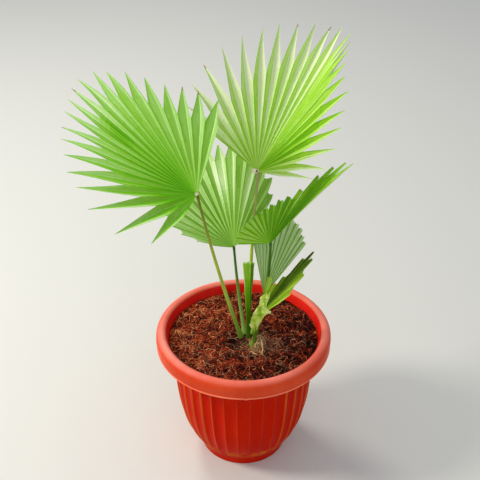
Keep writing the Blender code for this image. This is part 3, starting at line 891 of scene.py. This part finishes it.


# Fans: the part's stations, with the finish of each. Four differ from the part's: the middle,
# right and front ones part further out and end blunter, and the back one ends blunter. The
# front one also has its own foot, angles and reach, up to 12 mm longer than the part's.
# A row of numbers is spread evenly from one edge of the fan round to the other: "split" is
# where the leaflets part, "cut" is 1 for a blunt end and 0 for a point, "inner" and "outer"
# are tones by the hub and by the tips.
# A spot is a patch of painted sheen where its tone is above 0 and of painted shade where below:
# (place round the fan, place out from the hub, its width, its length, its tone).

fanShapes = {
    "left": {
        "foot": (-0.0065, -0.0070), "hub": (-0.0720, -0.0500, 0.5500), "bow": (-0.0035, 0.0),
        "facing": (3, 30), "ribs": 20, "curl": 0.10, "sag": 0.0,
        "angle": (237, 194, 171, 157.5, 148.5, 140, 131, 121.5, 109, 92, 70),
        "reach": (0.0870, 0.156, 0.195, 0.222, 0.244, 0.258, 0.260, 0.228, 0.190, 0.172, 0.176),
        "lift": (16, 11, 6, 0, -4, -5, -4, 4, 14, 25, 36),
        "split": (0.50, 0.42, 0.58, 0.66, 0.70, 0.74, 0.77, 0.77, 0.75, 0.74, 0.72),
        "cut": (0, 0), "sideLight": 0.45, "spots": ((0.490, 0.60, 0.035, 0.13, -1.9),), "lowerEdgeSheen": 3.0,
        "tones": "meadow", "inner": (2.6, 2.0, 1.8, 2.2, 3.4, 4.2),
        "outer": (3.6, 4.0, 4.8, 5.1, 4.7, 4.5), "stalk": "olive", "droop": 0.004,
    },
    "tall": {
        "foot": (0.0095, 0.0060), "hub": (0.0210, 0.0200, 0.5520), "bow": (-0.0030, 0.0),
        "facing": (-1, 29), "ribs": 22, "curl": 0.08, "sag": 0.0,
        "angle": (141, 105, 76, 58, 51, 30, -12),
        "reach": (0.145, 0.208, 0.250, 0.272, 0.226, 0.176, 0.108),
        "lift": (14, 4, -4, -4, 16, 34, 44),
        "split": (0.60, 0.60, 0.70, 0.78, 0.78, 0.60, 0.45),
        "cut": (0, 0), "sideLight": 0.60, "spots": ((0.80, 0.55, 0.05, 0.25, -0.8),),
        "tones": "lime", "inner": (4.2, 4.3, 4.5, 4.6, 3.5, 3.2, 5.0),
        "outer": (6.4, 6.3, 6.1, 5.9, 4.8, 4.3, 6.3), "stalk": "straw", "droop": 0.003,
    },
    "middle": {
        "foot": (0.0010, 0.0040), "hub": (-0.0155, 0.0300, 0.4000), "bow": (-0.0015, 0.0),
        "facing": (0, 33), "ribs": 18, "curl": 0.08, "sag": 0.0,
        "angle": (176, 159, 132, 104, 78, 50),
        "reach": (0.026, 0.118, 0.168, 0.175, 0.172, 0.112),
        "lift": (24, 12, 0, -4, 12, 30),
        "split": (0.94, 0.92, 0.86, 0.92),
        "cut": (1, 0.3, 0), "sideLight": 0.55,
        "spots": ((0.10, 0.95, 0.05, 0.2, 1.4), (0.62, 0.66, 0.030, 0.24, 2.8),
                  (0.81, 0.60, 0.022, 0.32, 2.4), (0.70, 0.60, 0.018, 0.30, 1.4)),
        "tones": "mint", "inner": (3.0, 2.8, 2.9, 3.0, 2.8, 2.6),
        "outer": (2.8, 3.8, 4.4, 4.2, 4.2, 3.4), "stalk": "green", "droop": 0.002,
    },
    "right": {
        "foot": (0.0215, -0.0040), "hub": (0.0425, -0.0200, 0.4405), "bow": (0.0060, 0.0),
        "facing": (-2, 33), "ribs": 16, "curl": 0.05, "sag": 1.6,
        "angle": (183, 160, 132, 105, 80, 61, 52.5, 48.5),
        "reach": (0.055, 0.054, 0.051, 0.053, 0.068, 0.101, 0.194, 0.248),
        "lift": (18, 10, 2, 0, 6, 18, 30, 40),
        "split": (0.94, 0.94, 0.92, 0.74),
        "cut": (1, 1, 0.8, 0), "sideLight": 0.60,
        "spots": ((0.98, 0.50, 0.03, 0.6, 1.6), (0.735, 0.85, 0.018, 0.25, 2.4)),
        "tones": "lime", "inner": (3.3, 3.3, 3.0, 2.6, 2.1, 1.6, 1.5),
        "outer": (3.8, 3.6, 3.6, 3.1, 2.9, 4.0, 3.0), "stalk": "deep", "droop": 0.0,
    },
    "back": {
        "foot": (0.0180, 0.0040), "hub": (0.0353, 0.0120, 0.3120), "bow": (0.0, 0.0),
        "facing": (-2, 36), "ribs": 12, "curl": 0.04, "sag": 0.0,
        "angle": (103, 92, 82, 72, 62, 52),
        "reach": (0.090, 0.130, 0.150, 0.146, 0.128, 0.112),
        "lift": (16, 6, 0, -4, -6, -8),
        "split": (0.94, 0.94),
        "cut": (1, 1), "sideLight": 1.35, "spots": (),
        "tones": "mint", "inner": (3.5, 3.7, 3.9, 4.0, 3.8, 3.6),
        "outer": (3.7, 3.9, 4.2, 4.3, 4.3, 3.8), "stalk": "green", "droop": 0.0,
    },
    "front": {
        "foot": (0.0170, -0.0310), "hub": (0.0244, -0.0300, 0.3010), "bow": (0.0, 0.0),
        "facing": (-2, 20), "ribs": 8, "curl": 0.03, "sag": 0.0,
        "angle": (79, 68, 58, 53, 50, 46, 37),
        "reach": (0.086, 0.064, 0.086, 0.140, 0.136, 0.105, 0.050),
        "lift": (14, 9, 4, 4, 6, 12, 18),
        "split": (0.93, 0.93),
        "cut": (0.6, 0.5), "sideLight": 0.35, "spots": (),
        "tones": "olive", "inner": (3.4, 2.4, 1.4, 1.2, 1.6, 2.4, 2.8),
        "outer": (4.4, 3.6, 1.6, 1.0, 1.8, 3.8, 4.6), "stalk": "deep", "droop": 0.0,
    },
}

bladeShape = {
    "thickness": 0.0005, "cadThickness": 0.0030, "start": 0.0030, "pleat": 0.62,
    "pleatFull": 0.050, "ridge": 0.05, "columns": 10, "fusedRows": 20, "freeRows": 22,
    "pointWidth": 0.03, "bluntWidth": 0.97, "taper": 1.05, "normalStep": 0.01,
    "splitMost": 0.94, "stray": 0.015, "twist": 0.25, "ragged": 0.0018, "sway": 0.07,
    "droopSpread": (0.4, 1.3), "droopLength": 0.08,
    # chance of a dry tip, where on the leaflet it starts, and the most that its end is cut
    "dryOdds": 0.15, "dryFrom": 0.968, "dryCut": 0.15, "sharp": 50,
}

stalkShape = {
    "footRadius": 0.0036, "hubRadius": 0.0019, "steps": 46, "sides": 16,
    "footFlare": 0.0016, "flareSteepness": 9, "hubSwell": 0.0006, "hubSwellLength": 0.03,
    "partHubRadius": 0.0025, "sunkFoot": 0.2345, "flatness": 0.25,
    # the run of the stalk under the middle of its blade
    "costaShare": 0.36, "costaTipRadius": 0.0008, "costaSteps": 14, "costaRise": 0.0014,
    "shade": (84, 104, 28), "shadeShare": 0.22,
}

# colours from foot to hub as a screen shows them
stalkColours = {
    "olive": ((122, 158, 52), (164, 196, 78), (172, 196, 62), (146, 154, 46), (116, 110, 36)),
    "straw": ((150, 184, 66), (164, 196, 58), (180, 210, 46), (166, 174, 90), (178, 152, 112)),
    "green": ((150, 188, 96), (138, 178, 86), (108, 150, 58), (76, 118, 38), (60, 104, 28)),
    "deep": ((116, 150, 52), (92, 136, 36), (66, 118, 20), (54, 104, 12), (56, 108, 12)),
}

leafKeys = {
    "lime": ((38, 78, 6), (64, 112, 8), (86, 148, 6), (108, 172, 10), (142, 196, 38),
             (172, 214, 88), (196, 228, 140), (226, 238, 190)),
    "meadow": ((40, 82, 10), (62, 122, 8), (82, 156, 8), (106, 176, 24), (134, 190, 62),
               (154, 204, 104), (180, 218, 144), (216, 234, 188)),
    "mint": ((44, 82, 18), (68, 112, 26), (96, 144, 34), (122, 170, 54), (146, 192, 84),
             (170, 210, 122), (198, 226, 160), (226, 238, 204)),
    "olive": ((40, 62, 8), (66, 94, 12), (94, 126, 16), (126, 160, 24), (154, 190, 40),
              (180, 210, 76), (204, 224, 120), (224, 236, 172)),
    "torn": ((70, 104, 16), (96, 138, 20), (124, 168, 30), (150, 192, 44), (174, 212, 62),
             (192, 224, 84), (206, 234, 112), (222, 240, 148)),
}
toneCount = 16
topTone = 7.0  # tone of the last key colour; the first one's is 0
leafTones = {name: toneRow(name + "Leaf", keys, toneCount) for name, keys in leafKeys.items()}
dryTip = leafMaterial("dryTip", (158, 150, 82))

# how far each marking of a blade changes its tone; the folds' darkening is painted shade and the
# lightening by the edges a painted highlight
toneShape = {
    "blendFrom": 0.12, "blendLength": 0.70, "paler": 0.38, "streaks": 0.70, "mottle": 0.40,
    "fold": 1.25, "foldShadeWidth": 0.16, "edgeHighlight": 2.0, "below": 0.35,
}


def fanAxes(fan):
    turn, tilt = (math.radians(angle) for angle in fan["facing"])
    right = Vector((math.cos(turn), math.sin(turn), 0.0))
    out = Vector((
        math.sin(turn) * math.cos(tilt), -math.cos(turn) * math.cos(tilt), math.sin(tilt)))
    return right, out.cross(right), out


def ribWay(fan, share):
    right, up, out = fanAxes(fan)
    angle = math.radians(along(fan["angle"], share))
    lift = math.radians(along(fan["lift"], share))
    flat = right * math.cos(angle) + up * math.sin(angle)
    return flat * math.cos(lift) + out * math.sin(lift)


def bladeNormal(fan, share):
    step = bladeShape["normalStep"]
    sweep = ribWay(fan, share - step) - ribWay(fan, share + step)
    return ribWay(fan, share).cross(sweep).normalized()


def fanColumn(fan, share):
    # everything about one column of the blade that doesn't change along it
    return {"way": ribWay(fan, share), "normal": bladeNormal(fan, share),
            "out": fanAxes(fan)[2], "reach": along(fan["reach"], share),
            "split": min(along(fan["split"], share), bladeShape["splitMost"]),
            "hub": Vector(fan["hub"]),
            "curl": fan["curl"], "sag": fan["sag"], "share": share}


def columnPoint(column, radius):
    part = (radius / column["reach"]) ** 2
    bend = column["curl"] * column["reach"] * part
    sag = Vector((0.0, 0.0, column["sag"] * column["reach"] ** 3 * part))
    return column["hub"] + column["way"] * radius - column["out"] * bend - sag


def pleatHeight(radius, spread, phase):
    # edges raised and rib lowered: each leaflet is a shallow gutter
    shape = bladeShape
    fold = 2 * math.hypot(phase, shape["ridge"]) - 1
    return shape["pleat"] * min(radius / shape["pleatFull"], 1.0) * radius * spread / 2 * fold


def toneAt(fan, share, phase, out, leaflet, below):
    # tone of a spot: share round the fan, phase across its leaflet, -1 to 1, and out along it
    shape = toneShape
    inner, outer = along(fan["inner"], share), along(fan["outer"], share)
    tone = inner + (outer - inner) * clamp((out - shape["blendFrom"]) / shape["blendLength"]) ** 0.9
    streak = ripple((leaflet * 3.1, phase * 2.2, out * 2.0))
    tone += shape["paler"] + shape["streaks"] * streak
    tone += shape["mottle"] * ripple((leaflet * 7.7 + 9, phase * 6.0, out * 7.0))
    if 0 < phase < 0.2:  # pale rib
        tone += 0.3 + 0.7 * out
    # painted shade in the folds between leaflets; one half of each painted lighter and the other
    # darker, as light falls on them, with a painted highlight by the lighter half's edge
    fold = math.exp(-((abs(phase) - 1) / shape["foldShadeWidth"]) ** 2)
    tone -= shape["fold"] * fold * clamp(out * 2)
    # painted light and shade: one half of each leaflet lighter, the other darker
    tone += fan["sideLight"] * (1 if phase > 0 else -1) * clamp(out * 4)
    edge = clamp((phase - 0.70) * 8) * clamp((out - 0.2) * 3)
    tone += shape["edgeHighlight"] * fan["sideLight"] * edge
    # painted sheen along the lower edge of the lowest leaflets
    edge = clamp((-0.45 - phase) * 5) * clamp((0.24 - share) * 12) * clamp((out - 0.25) * 4)
    tone += fan.get("lowerEdgeSheen", 0.0) * edge
    # patches of painted sheen and painted shade
    for spotShare, spotOut, wide, long, change in fan["spots"]:
        away = ((share - spotShare) / wide) ** 2 + ((out - spotOut) / long) ** 2
        tone += change * math.exp(-away)
    return tone + (shape["below"] if below else 0.0)


def toneIndex(tone):
    # the material slot of a tone
    return round(clamp(tone, 0.0, topTone) / topTone * (toneCount - 1))


def fanSheet(name, fan):
    # fused blade, then free leaflets: points, quads, normals, layout and where each quad lies
    shape = bladeShape
    dice = random.Random(sum(ord(letter) for letter in name))
    per = shape["columns"]
    count = fan["ribs"] * per
    spread = 1 / (2 * fan["ribs"])
    columns = [fanColumn(fan, index / count) for index in range(count + 1)]
    angles = []
    for index in range(count + 1):
        share = index / count
        angles.append(ribWay(fan, share).angle(ribWay(fan, abs(share - spread))))
    points, faces, normals, layout, spots = [], [], [], [], []
    rows = shape["fusedRows"]
    for row in range(rows + 1):
        for index, column in enumerate(columns):
            phase = (index % per) / per * 2 - 1 if index % per else 1.0
            stop = column["reach"] * column["split"]
            radius = shape["start"] + (stop - shape["start"]) * row / rows
            lift = pleatHeight(radius, angles[index], phase)
            points.append(columnPoint(column, radius) + column["normal"] * lift)
            normals.append(column["normal"])
            layout.append((index / per, radius * 10))
    wide = count + 1
    for row in range(rows):
        out = (row + 0.5) / rows
        for index in range(count):
            low, high = row * wide + index, (row + 1) * wide + index
            faces.append((low, low + 1, high + 1, high))
            phase = ((index % per) + 0.5) / per * 2 - 1
            share = (index + 0.5) / count
            spots.append((share, phase, out * columns[index]["split"], index // per))
    for leaflet in range(fan["ribs"]):
        addLeaflet(fan, leaflet, columns, points, faces, normals, layout, spots, dice)
    return points, faces, normals, layout, spots


def addLeaflet(fan, leaflet, columns, points, faces, normals, layout, spots, dice):
    # free part of one leaflet, bending and twisting a little on its way to the tip
    shape = bladeShape
    per, rows = shape["columns"], shape["freeRows"]
    wide = fan["ribs"] * per + 1
    first = leaflet * per
    centre = columns[first + per // 2]
    share = centre["share"]
    row = shape["fusedRows"] * wide + first
    root = points[row + per // 2]
    offsets = [points[row + step] - root for step in range(per + 1)]
    start = centre["reach"] * centre["split"]
    blunt = clamp(along(fan["cut"], share))
    endWidth = shape["pointWidth"] + (shape["bluntWidth"] - shape["pointWidth"]) * blunt
    lifted = root - columnPoint(centre, start)
    reach = centre["reach"] * (1 + dice.uniform(-1, 1) * shape["stray"] * (1 + 2 * blunt))
    sideways = centre["way"].cross(centre["normal"])
    sway = dice.uniform(-1, 1) * (reach - start) * shape["sway"] * (1 - blunt)
    droop = fan["droop"] * dice.uniform(*shape["droopSpread"])
    droop = droop * (reach - start) / shape["droopLength"]
    twist = dice.uniform(-1, 1) * shape["twist"] * (1 - blunt)
    low = list(range(row, row + per + 1))
    notches = [dice.uniform(-1, 1) * shape["ragged"] * blunt for _ in offsets]
    for step in range(1, rows + 1):
        out = step / rows
        width = 1 - (1 - endWidth) * out ** shape["taper"]
        radius = start + (reach - start) * out
        middle = columnPoint(centre, radius) + lifted * width
        middle += sideways * sway * out ** 2 - Vector((0, 0, 1)) * droop * out ** 2
        turn = twist * out
        high = []
        for index, offset in enumerate(offsets):
            flat = offset.dot(sideways)
            rise = offset.dot(centre["normal"])
            ahead = offset - sideways * flat - centre["normal"] * rise
            place = sideways * (flat * math.cos(turn) - rise * math.sin(turn))
            place += centre["normal"] * (flat * math.sin(turn) + rise * math.cos(turn))
            high.append(len(points))
            notch = centre["way"] * notches[index] * out ** 3
            points.append(middle + (place + ahead * (1 - out)) * width + notch)
            normals.append(centre["normal"])
            layout.append((leaflet + 0.5 + (index / per - 0.5) * width, radius * 10))
        for index in range(per):
            faces.append((low[index], low[index + 1], high[index + 1], high[index]))
            phase = (index + 0.5) / per * 2 - 1
            middleOut = (radius - 0.5 * (reach - start) / rows) / reach
            spots.append((share, phase, middleOut, leaflet))
        low = high


def thicken(points, faces, normals, layout, thickness):
    # closed plate from an open sheet, with the quad each face comes from and if it is below
    count = len(points)
    half = thickness / 2
    solid = [point + normal * half for point, normal in zip(points, normals)]
    solid += [point - normal * half for point, normal in zip(points, normals)]
    shell = list(faces)
    shell += [tuple(count + corner for corner in reversed(face)) for face in faces]
    source = [(index, False) for index in range(len(faces))]
    source += [(index, True) for index in range(len(faces))]
    edges = {}
    for index, face in enumerate(faces):
        for corner, start in enumerate(face):
            edges[(start, face[(corner + 1) % len(face)])] = index
    for (start, end), index in edges.items():
        if (end, start) not in edges:
            shell.append((end, start, count + start, count + end))
            source.append((index, False))
    return solid, shell, layout + layout, source


def addFan(name, fan):
    shape = bladeShape
    points, faces, normals, layout, spots = fanSheet(name, fan)
    solid, shell, layout, source = thicken(points, faces, normals, layout, shape["thickness"])
    dice = random.Random(len(points))
    dry = []
    for leaflet in range(fan["ribs"]):
        drawn = dice.random() < shape["dryOdds"]
        cut = along(fan["cut"], (leaflet + 0.5) / fan["ribs"])
        dry.append(drawn and cut < shape["dryCut"])
    picks = []
    for index, below in source:
        share, phase, out, leaflet = spots[index]
        if out > shape["dryFrom"] and dry[leaflet]:
            picks.append(toneCount)
        else:
            picks.append(toneIndex(toneAt(fan, share, phase, out, leaflet, below)))
    materials = leafTones[fan["tones"]] + [dryTip]
    piece = addPiece(name + "Fan", solid, shell, materials, picks, layout, shape["sharp"])
    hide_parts("fan_" + name)


def stalkPath(fan):
    # from the sunk foot to the hub, and on under the middle of the blade
    shape = stalkShape
    foot = Vector((*fan["foot"], stemTop + gap))
    seat = bladeShape["cadThickness"] / 2 + shape["partHubRadius"] + gap
    column = fanColumn(fan, 0.5)
    hub = columnPoint(column, 0.0) - column["normal"] * seat
    bow = Vector((*fan["bow"], 0.0))
    path = []
    for step in range(shape["steps"]):
        share = step / shape["steps"]
        path.append(foot.lerp(hub, share) + bow * (4 * share * (1 - share)))
    away = (path[1] - path[0]).normalized()
    sunk = path[0] - away * ((path[0].z - shape["sunkFoot"]) / away.z)
    path.insert(0, sunk)
    reach = column["reach"] * shape["costaShare"]
    for step in range(shape["costaSteps"] + 1):
        share = step / shape["costaSteps"]
        under = seat - shape["costaRise"] * clamp(share * 4)
        path.append(columnPoint(column, reach * share) - column["normal"] * under)
    return path


def stalkMaterial(name, colours, top):
    # colours that change with height, under a fine grain that runs along the stalk
    material, tree, shader = startMaterial(name)
    place = addNode(tree, "TexCoord")["Object"]
    height = addNode(tree, "SeparateXYZ", {0: place})["Z"]
    level = addNode(tree, "MapRange", {
        "Value": height, "From Min": stemTop, "From Max": top})["Result"]
    ramp = tree.nodes.new("ShaderNodeValToRGB")
    tree.links.new(level, ramp.inputs["Fac"])
    stops = ramp.color_ramp.elements
    for index, colour in enumerate(colours):
        spot = index / (len(colours) - 1)
        stop = stops[index] if index < 2 else stops.new(spot)  # a ramp starts with two stops
        stop.position = spot
        stop.color = screenColour(*colour)
    grain = placeGroup(tree, grainGroup, {
        "Main Colour": ramp.outputs["Color"],
        "Second Colour": screenColour(*stalkShape["shade"]),
        "Scale": 260.0, "Stretch": (1.0, 1.0, 0.08), "Low": 0.40, "High": 0.62,
        "Smooth": 0.38, "Rough": 0.55})
    colour = mixColours(tree, stalkShape["shadeShare"], ramp.outputs["Color"], grain["Colour"])
    feed(tree, shader, {
        "Base Color": colour, "Roughness": grain["Roughness"], "Specular IOR Level": 0.20,
        "Normal": addBump(tree, grain["Height"], 0.35, 0.0003)})
    return material


def addStalk(name, fan):
    shape = stalkShape
    path = stalkPath(fan)
    radii = []
    for index in range(len(path)):
        if index <= shape["steps"] + 1:
            share = index / (shape["steps"] + 1)
            radius = shape["footRadius"] + (shape["hubRadius"] - shape["footRadius"]) * share
            radius += shape["footFlare"] * max(1 - share * shape["flareSteepness"], 0.0) ** 2
            fromHub = (share - 1) / shape["hubSwellLength"]
            radius += shape["hubSwell"] * math.exp(-fromHub ** 2)
        else:
            share = (index - shape["steps"] - 1) / shape["costaSteps"]
            radius = shape["hubRadius"] * (1 - share) + shape["costaTipRadius"] * share
        radii.append(radius)
    points = tubeRings(path, radii, shape["sides"], shape["flatness"])
    faces = cappedFaces(len(path), shape["sides"])
    material = stalkMaterial(name + "Stalk", stalkColours[fan["stalk"]], fan["hub"][2])
    piece = addPiece(name + "Stalk", points, faces, [material], sharp=60)
    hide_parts("stalk_" + name)


# small cream flaps on the hubs of two fans
hastulaShape = {
    # each with its shifts aside and up from the hub, and its size
    "flaps": {"tall": (-0.0032, 0.0006, 0.0052), "left": (-0.0006, 0.0012, 0.0030)},
    "rings": 7, "sides": 26, "thickness": 0.0005, "forward": 0.0020, "squash": 0.75,
    "ragged": 0.55, "curl": 0.0012, "bumps": 0.0006,
    # the brown spot, as shares of the flap's size
    "spotAside": 0.62, "spotRadius": 0.34,
}


def addHastulas():
    shape = hastulaShape
    points, faces, normals, picks = [], [], [], []
    rings, sides = shape["rings"], shape["sides"]
    for name, (aside, upward, size) in shape["flaps"].items():
        fan = fanShapes[name]
        right, up, out = fanAxes(fan)
        middle = Vector(fan["hub"]) + right * aside + up * upward + out * shape["forward"]
        brown = middle + right * size * shape["spotAside"]
        start = len(points)
        for ring in range(rings + 1):
            share = 0.05 + 0.95 * ring / rings
            for turn in circleTurns(sides):
                place = Vector((math.cos(turn), math.sin(turn), size * 900))
                edge = size * (1 + shape["ragged"] * ripple(place, 1.9))
                lift = shape["curl"] * share ** 2 + shape["bumps"] * ripple(place * 4, share)
                points.append(middle + right * place.x * edge * share
                              + up * place.y * edge * share * shape["squash"] + out * lift)
                normals.append(out)
        faces.append(tuple(range(start, start + sides)))
        picks.append(0)
        for low, beside, high, above in ringFaces(rings + 1, sides):
            faces.append((start + low, start + above, start + high, start + beside))
            centre = (points[start + low] + points[start + high]) / 2
            picks.append(1 if (centre - brown).length < size * shape["spotRadius"] else 0)
    layout = [(0.0, 0.0)] * len(points)
    solid, shell, layout, source = thicken(points, faces, normals, layout, shape["thickness"])
    materials = [
        grainyMaterial("hastulaCream", (255, 248, 230), (232, 214, 180), 400.0, rough=0.8),
        grainyMaterial("hastulaBrown", (92, 60, 38), (56, 34, 22), 400.0, rough=0.9)]
    piece = addPiece("creamHastulas", solid, shell, materials,
                     [picks[index] for index, _ in source], layout, sharp=40)


for fanName, fanShape in fanShapes.items():
    addFan(fanName, fanShape)
    addStalk(fanName, fanShape)
    print("fan made:", fanName)
addHastulas()


# Spear leaf and torn sheath

strapShapes = {
    "spearLeaf": {
        # x, y, z, width, fold: the part's stations, but its foot 6 mm lower, on the mound
        "stations": ((0.0085, -0.0130, 0.2400, 0.0070, 0.0020),
                     (0.0085, -0.0150, 0.2900, 0.0085, 0.0030),
                     (0.0080, -0.0175, 0.3450, 0.0125, 0.0040),
                     (0.0082, -0.0200, 0.4030, 0.0200, 0.0035)),
        "rows": 60, "columns": 24, "pleats": 3, "pleatDepth": 0.0006, "ragged": 0.0022,
        "crumple": 0.0003, "node": "spear_leaf", "slot": "leaf_green", "flaps": (),
        "tones": "lime",
    },
    "tornSheath": {
        # nine stations where the part has five, within about 3 mm of its line
        "stations": ((0.0176, -0.0340, 0.2463, 0.0036, 0.0010),
                     (0.0195, -0.0380, 0.2750, 0.0050, 0.0015),
                     (0.0198, -0.0410, 0.2930, 0.0140, 0.0035),
                     (0.0228, -0.0435, 0.3060, 0.0205, 0.0050),
                     (0.0265, -0.0450, 0.3175, 0.0200, 0.0055),
                     (0.0300, -0.0450, 0.3300, 0.0150, 0.0035),
                     (0.0328, -0.0450, 0.3395, 0.0125, 0.0020),
                     (0.0360, -0.0460, 0.3490, 0.0130, 0.0035),
                     (0.0390, -0.0460, 0.3590, 0.0090, 0.0020)),
        "rows": 90, "columns": 30, "pleats": 2, "pleatDepth": 0.0008, "ragged": 0.0060,
        "crumple": 0.0046, "node": "torn_sheath", "slot": "sheath_green",
        "tones": "torn",
        # side flaps as (height, how tall, how far out)
        "flaps": ((0.3200, 0.0050, 0.0095), (0.2880, 0.0070, -0.0040), (0.3500, 0.0050, -0.0030)),
    },
}
strapSurface = {
    "thickness": 0.0007, "wander": 0.20, "wrinkleScale": 95, "creaseScale": 230, "crease": 0.6,
    "bumpScale": 200,
}


def strapTone(name, share, phase):
    # tone of a strap at a share of its length and a place across it, -1 to 1
    if name == "spearLeaf":
        tone = 1.8 + 2.4 * clamp((share - 0.35) / 0.5)
        # the right side is painted darker, painted shade away from the light
        if phase > 0.45:
            tone = 0.7 + 0.8 * share
        # the left edge is painted pale, a painted highlight
        if phase < -0.86:
            tone += 2.2
        if share > 0.985:
            tone += 1.6
    else:
        tone = 5.5 + 1.4 * math.sin(share * 21 + phase * 4)
        tone -= 2.2 * math.exp(-((share - 0.42) / 0.07) ** 2 - ((phase - 0.1) / 0.35) ** 2)
        tone -= 4.4 * clamp((0.20 - share) * 9)
        if abs(phase) > 0.8:
            tone += 0.7
    return tone + 0.4 * ripple((phase * 6, share * 5, len(name)))


def addStrap(name, shape):
    points, faces, normals, layout, spots = [], [], [], [], []
    surface = strapSurface
    rows, columns = shape["rows"], shape["columns"]
    for row in range(rows + 1):
        share = row / rows
        for column in range(columns + 1):
            phase = column / columns * 2 - 1
            edge = shape["ragged"] * ripple((phase * 3, 0.5, len(name)))
            x, y, z, width, fold = (
                along([station[axis] for station in shape["stations"]], share)
                for axis in range(5))
            z += edge * clamp((share - 0.8) / 0.2)
            width *= 1 + surface["wander"] * ripple((share * 7, phase, len(name))) * share
            pleat = abs((phase * shape["pleats"] + 10) % 1.0 - 0.5) * 2 - 0.5
            deep = fold * (1 - abs(phase)) + shape["pleatDepth"] * pleat * share
            side = x + width / 2 * phase
            coarse, fine = surface["wrinkleScale"], surface["creaseScale"]
            wrinkle = 2 * abs(ripple((side * coarse, z * coarse, 0.4))) - 0.5
            wrinkle += surface["crease"] * abs(ripple((side * fine, z * fine, 0.4)))
            deep -= shape["crumple"] * wrinkle * clamp(share * 3) * clamp(width * 80)
            for level, tall, flap in shape["flaps"]:
                near = math.exp(-((z - level) / tall) ** 2)
                side += flap * near * clamp(phase if flap > 0 else -phase) ** 2
            scale = surface["bumpScale"]
            z += shape["crumple"] * 0.5 * ripple((side * scale, z * scale, 7.0))
            points.append(Vector((side, y + deep, z)))
            normals.append(Vector((0.0, -1.0, 0.0)))
            layout.append((column / columns * 2, share))
    wide = columns + 1
    for row in range(rows):
        for column in range(columns):
            low = row * wide + column
            faces.append((low, low + 1, low + wide + 1, low + wide))
            spots.append(((row + 0.5) / rows, (column + 0.5) / columns * 2 - 1))
    solid, shell, layout, source = thicken(points, faces, normals, layout, surface["thickness"])
    picks = [toneIndex(strapTone(name, *spots[index])) for index, _ in source]
    piece = addPiece(name, solid, shell, leafTones[shape["tones"]], picks, layout, sharp=35)
    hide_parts(shape["node"])


for strapName, strapShape in strapShapes.items():
    addStrap(strapName, strapShape)
print("spear leaf and sheath made")


# Floor

def addFloor():
    mesh = bpy.data.meshes.new("paleFloor")
    half = viewSettings["floorHalf"]
    corners = [(-half, -half, 0), (half, -half, 0), (half, half, 0), (-half, half, 0)]
    mesh.from_pydata(corners, [], [(0, 1, 2, 3)])
    material, tree, shader = startMaterial("paleFloor")
    feed(tree, shader, {"Base Color": (*viewSettings["floorColour"], 1.0), "Roughness": 0.8})
    mesh.materials.append(material)
    floor = bpy.data.objects.new("paleFloor", mesh)
    bpy.context.scene.collection.objects.link(floor)


addFloor()

print("all pieces made")
